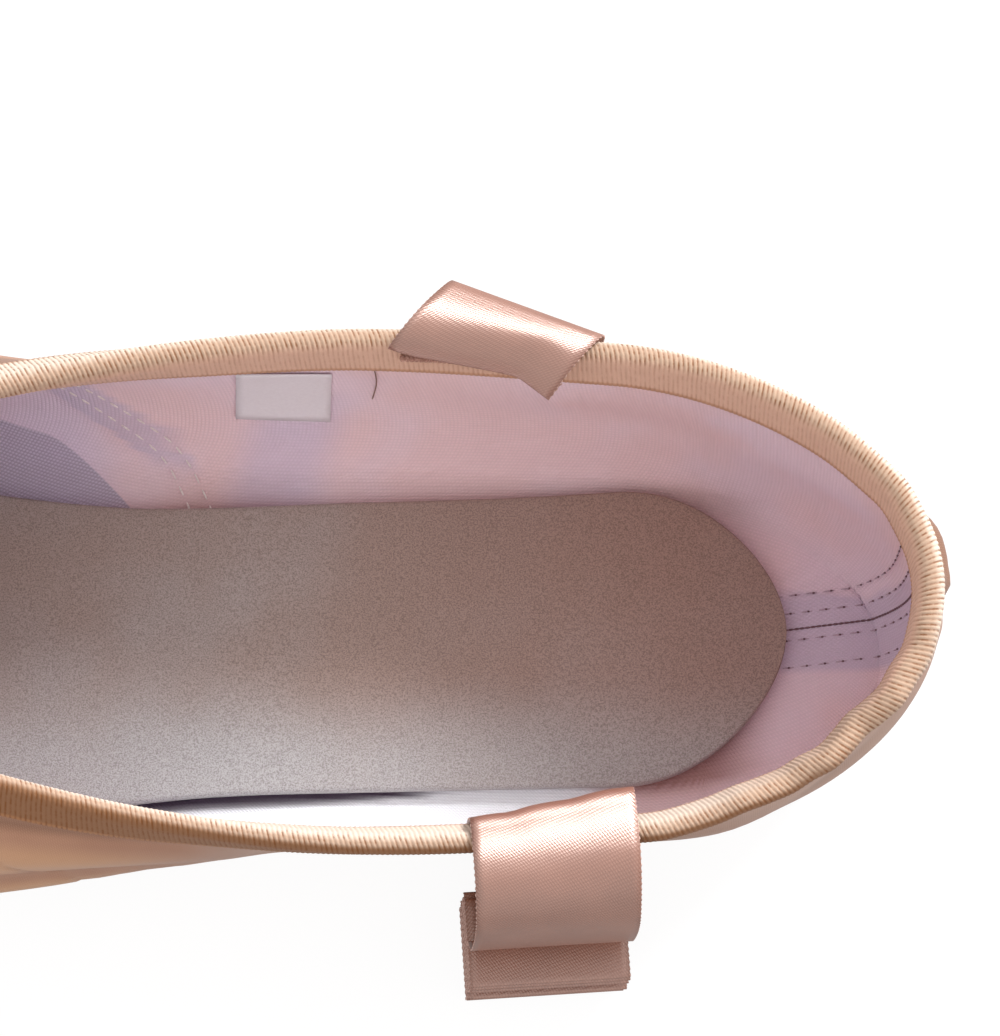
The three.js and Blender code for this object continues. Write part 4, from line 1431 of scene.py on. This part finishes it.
class POINTE_OT_stitching(bpy.types.Operator):
    """Stitch rows of the heel tape, side seams and ribbon ends"""

    bl_idname = "pointe.stitching"
    bl_label = "Stitching"

    def execute(self, context):
        pitch = context.scene.pointe.sizes.stitch_pitch / MM
        wall = Wall()
        pale = thread_material("Pale thread", "#efe4e0", "#dccdc9")
        dark = thread_material("Dark thread", "#7d6166", "#6a5054")
        mauve = thread_material("Mauve thread", "#c2abb6", "#ab939f")
        ribbon = thread_material("Ribbon hem thread", "#bd9080", "#9c6f60", 0.6)
        heel = [self.heel_line(wall, offset) for offset in TAPE_ROWS]
        holes = [from_start(line, pitch / 2) for line in heel]
        sides = [self.side_line(wall, side, offset) for side in (1, -1) for offset in SEAM_ROWS]
        join = [self.heel_line(wall, TAPE_MIDDLE)]
        for name, lines, step, length, thickness, material, slot in (
            ("heel_stitches", heel, pitch, pitch * 0.7, 0.24, mauve, "tape"),
            # Dark dots at the needle holes between the stitches: painted shade in the holes.
            ("heel_holes", holes, pitch, 0.5, 0.32, dark, "tape"),
            ("lining_stitches", sides, pitch, pitch * 0.66, 0.3, pale, "tape"),
            ("ribbon_hem", [self.hem_line(wall)], 0.62, 0.9, 1.0, ribbon, "ribbon"),
            ("heel_seam", join, 0.8, 0.95, 0.34, dark, "tape"),
        ):
            frame_piece(thread_rows(name, lines, step, length, thickness, material), slot)
        return {"FINISHED"}

    @staticmethod
    def side_line(wall, side, offset):
        """A line down the lining beside a side seam."""
        depth = np.linspace(*SEAM_ROW_DEPTHS[side], SIDE_STEPS)
        slope = seam_along(depth + 0.5) - seam_along(depth - 0.5)
        along = seam_along(depth) + offset * np.sqrt(1 + slope**2)
        return wall.on_lining(along, depth, side, STITCH_LIFT)

    @staticmethod
    def hem_line(wall):
        """A line along the inner face of the right binding, under the ribbon's sewn end."""
        middle, lateral, up = topline_frames(wall)
        line = mirrored(middle - lateral * HEM_INSET + up * HEM_HEIGHT)
        at = np.linspace(*HEM_SPAN, HEM_LINE_STEPS)
        return points_at(at, wall.along[: wall.throat + 1], line)

    @staticmethod
    def heel_line(wall, offset):
        """A line down the heel lining, then slanting over the heel's floor to the insole."""
        face = wall.inner(np.full(wall.depth.shape, HEEL_LIFT))[:HEEL_STATIONS]
        place = offset + TAPE_SLANT[0]
        floor = base_z(0) + QUARTER_WALL + HEEL_LIFT
        points = []
        for j in range(wall.ROWS - ROWS_UNDER_BINDING, 0, -1):
            row = face[np.argsort(face[:, j, 1]), j]
            x, _, z = points_at(abs(place), row[:, 1], row)
            if z < floor + HEEL_FLOOR_EDGE or row[-1, 1] < abs(place):
                break
            points.append((x, place, z))
        start = points[-1][0]
        for t in np.linspace(0, 1, HEEL_FLOOR_STEPS)[1:]:
            y = place + (offset + TAPE_SLANT[1] - place) * t
            points.append((start + HEEL_FLOOR_REACH * t, y, floor))
        return np.array(points)


# The label on the right lining and the loose thread beside it: along the shoe, below the topline.
LABEL_ALONG, LABEL_DEPTH, LABEL_STEPS, LABEL_LIFTS = (84.3, 97.6), (10.5, 26.4), 12, (0.42, 0.25)
LOOSE_ALONG, LOOSE_CURL, LOOSE_DEPTH, LOOSE_LENGTH, LOOSE_LIFT = 78.5, 0.5, 7, 12.5, 0.35


class POINTE_OT_label(bpy.types.Operator):
    """Blank label and loose thread in the lining"""

    bl_idname = "pointe.label"
    bl_label = "Label and thread"

    def execute(self, context):
        wall = Wall()
        along = np.linspace(*LABEL_ALONG, LABEL_STEPS)
        front, back = (
            np.stack([
                wall.on_lining(along, np.full(LABEL_STEPS, depth), -1, lift)
                for depth in np.linspace(*LABEL_DEPTH, LABEL_STEPS)
            ])
            for lift in LABEL_LIFTS
        )
        ring = np.concatenate((front, back[:, ::-1]), 1)
        faces = strip_faces(*ring.shape[:2], flip=True)
        label = mesh_object("size_label", ring.reshape(-1, 3), faces, (label_material(),))
        frame_piece(label, "tape")
        t = np.linspace(0, 1, LOOSE_STEPS)
        curl = LOOSE_ALONG - LOOSE_CURL * np.sin(3 * t)
        line = wall.on_lining(curl, LOOSE_DEPTH + LOOSE_LENGTH * t, -1, LOOSE_LIFT)
        thread = thread_material("Brown thread", "#937264", "#7d5f52")
        loose = thread_rows(
            "loose_thread", [line], pitch=0.12, length=0.26, thickness=0.2, material=thread
        )
        frame_piece(loose, "tape")
        return {"FINISHED"}


# Floors: name, glow, depth below the part, whether the camera sees it. Light bounces off the other.
FLOORS = (("paper", 0.92, 0.0003, True), ("table", 0.4, 0.0006, False))
FLOOR_HALF = 3.0
SKY_COLOUR, KEY_COLOUR, GLEAM_COLOUR = (1.0, 0.98, 0.98, 1.0), (0.96, 0.98, 1.0), (1.0, 1.0, 1.0)
KEY_ANGLE, GLEAM_ANGLE, GLEAM_TOWARD = math.radians(18), math.radians(20), (-0.05, -0.7, 0.7)
SENSOR_MM, CLIP_START = 36, 0.01


def direction(azimuth, elevation):
    """A direction by its turn from -Y and its height above the horizon."""
    level = math.cos(elevation)
    return Vector((math.sin(azimuth) * level, -math.cos(azimuth) * level, math.sin(elevation)))


class POINTE_OT_stage(bpy.types.Operator):
    """Floor, light and camera"""

    bl_idname = "pointe.stage"
    bl_label = "Stage"

    def execute(self, context):
        scene = context.scene
        stage = scene.pointe.stage
        self.floors(scene)
        world = bpy.data.worlds.new("Soft studio")
        world.use_nodes = True
        sky = world.node_tree.nodes["Background"]
        sky.inputs["Color"].default_value = SKY_COLOUR
        sky.inputs["Strength"].default_value = stage.fill_strength
        scene.world = world
        key_toward = direction(stage.key_azimuth, stage.key_elevation)
        self.sun("key", stage.key_strength, KEY_ANGLE, KEY_COLOUR, key_toward)
        # The gleam lights no matt cloth: it is the window that satin mirrors.
        gleam_toward = Vector(GLEAM_TOWARD)
        gleam = self.sun("gleam", stage.gleam_strength, GLEAM_ANGLE, GLEAM_COLOUR, gleam_toward)
        gleam.visible_diffuse = False

        back, r = direction(stage.azimuth, stage.elevation), stage.roll
        right = Vector((0, 0, 1)).cross(back).normalized()
        up = back.cross(right)
        right, up = right * math.cos(r) + up * math.sin(r), up * math.cos(r) - right * math.sin(r)
        camera = bpy.data.objects.new("camera", bpy.data.cameras.new("camera"))
        camera.data.lens = stage.lens
        camera.data.sensor_width = SENSOR_MM
        camera.data.dof.use_dof = False
        camera.data.clip_start = CLIP_START
        turned = Matrix((right, up, back)).transposed().to_4x4()
        turned.translation = Vector(stage.target) + back * stage.distance
        camera.matrix_world = turned
        scene.collection.objects.link(camera)
        scene.camera = camera
        scene.view_settings.view_transform = "Standard"
        return {"FINISHED"}

    @staticmethod
    def floors(scene):
        """Paper that the camera sees, and a darker table below it that light bounces off."""
        turns = ((-1, -1), (1, -1), (1, 1), (-1, 1))
        corners = [(x * FLOOR_HALF, y * FLOOR_HALF, 0) for x, y in turns]
        for name, glow, depth, seen in FLOORS:
            mesh = bpy.data.meshes.new(name)
            mesh.from_pydata(corners, [], [(0, 1, 2, 3)])
            mesh.materials.append(floor_material("White " + name, glow))
            floor = bpy.data.objects.new(name, mesh)
            floor.location.z = -depth
            floor.visible_camera = seen
            floor.visible_diffuse = floor.visible_glossy = floor.visible_shadow = not seen
            scene.collection.objects.link(floor)

    @staticmethod
    def sun(name, strength, angle, colour, toward):
        """A soft distant lamp that shines from a direction."""
        lamp = bpy.data.lights.new(name, "SUN")
        lamp.energy, lamp.angle, lamp.color = strength, angle, colour
        sun = bpy.data.objects.new(name, lamp)
        sun.rotation_mode = "QUATERNION"
        sun.rotation_quaternion = toward.to_track_quat("Z", "Y")
        bpy.context.scene.collection.objects.link(sun)
        return sun


PIECE_OPERATORS = (
    POINTE_OT_upper, POINTE_OT_soles, POINTE_OT_binding, POINTE_OT_ribbons,
    POINTE_OT_stitching, POINTE_OT_label, POINTE_OT_stage,
)


class POINTE_PT_panel(bpy.types.Panel):
    """Sizes, colours, stage and pieces of the shoe"""

    bl_label = "Pointe Shoe"
    bl_idname = "POINTE_PT_panel"
    bl_space_type = "VIEW_3D"
    bl_region_type = "UI"
    bl_category = "Pointe Shoe"

    def draw(self, context):
        settings = context.scene.pointe
        for group in (settings.sizes, settings.colours, settings.stage):
            box = self.layout.box()
            for name in group.__annotations__:
                box.prop(group, name)
        for operator in PIECE_OPERATORS:
            self.layout.operator(operator.bl_idname)


CLASSES = (
    PointeSizes, PointeColours, PointeStage, PointeSettings, *PIECE_OPERATORS, POINTE_PT_panel,
)


def register():
    for cls in CLASSES:
        bpy.utils.register_class(cls)
    bpy.types.Scene.pointe = PointerProperty(type=PointeSettings)


def unregister():
    del bpy.types.Scene.pointe
    for cls in reversed(CLASSES):
        bpy.utils.unregister_class(cls)


def main():
    register()
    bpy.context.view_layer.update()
    bpy.ops.pointe.upper()
    bpy.ops.pointe.soles()
    bpy.ops.pointe.binding()
    bpy.ops.pointe.ribbons()
    bpy.ops.pointe.stitching()
    bpy.ops.pointe.label()
    bpy.ops.pointe.stage()


if __name__ == "__main__":
    main()
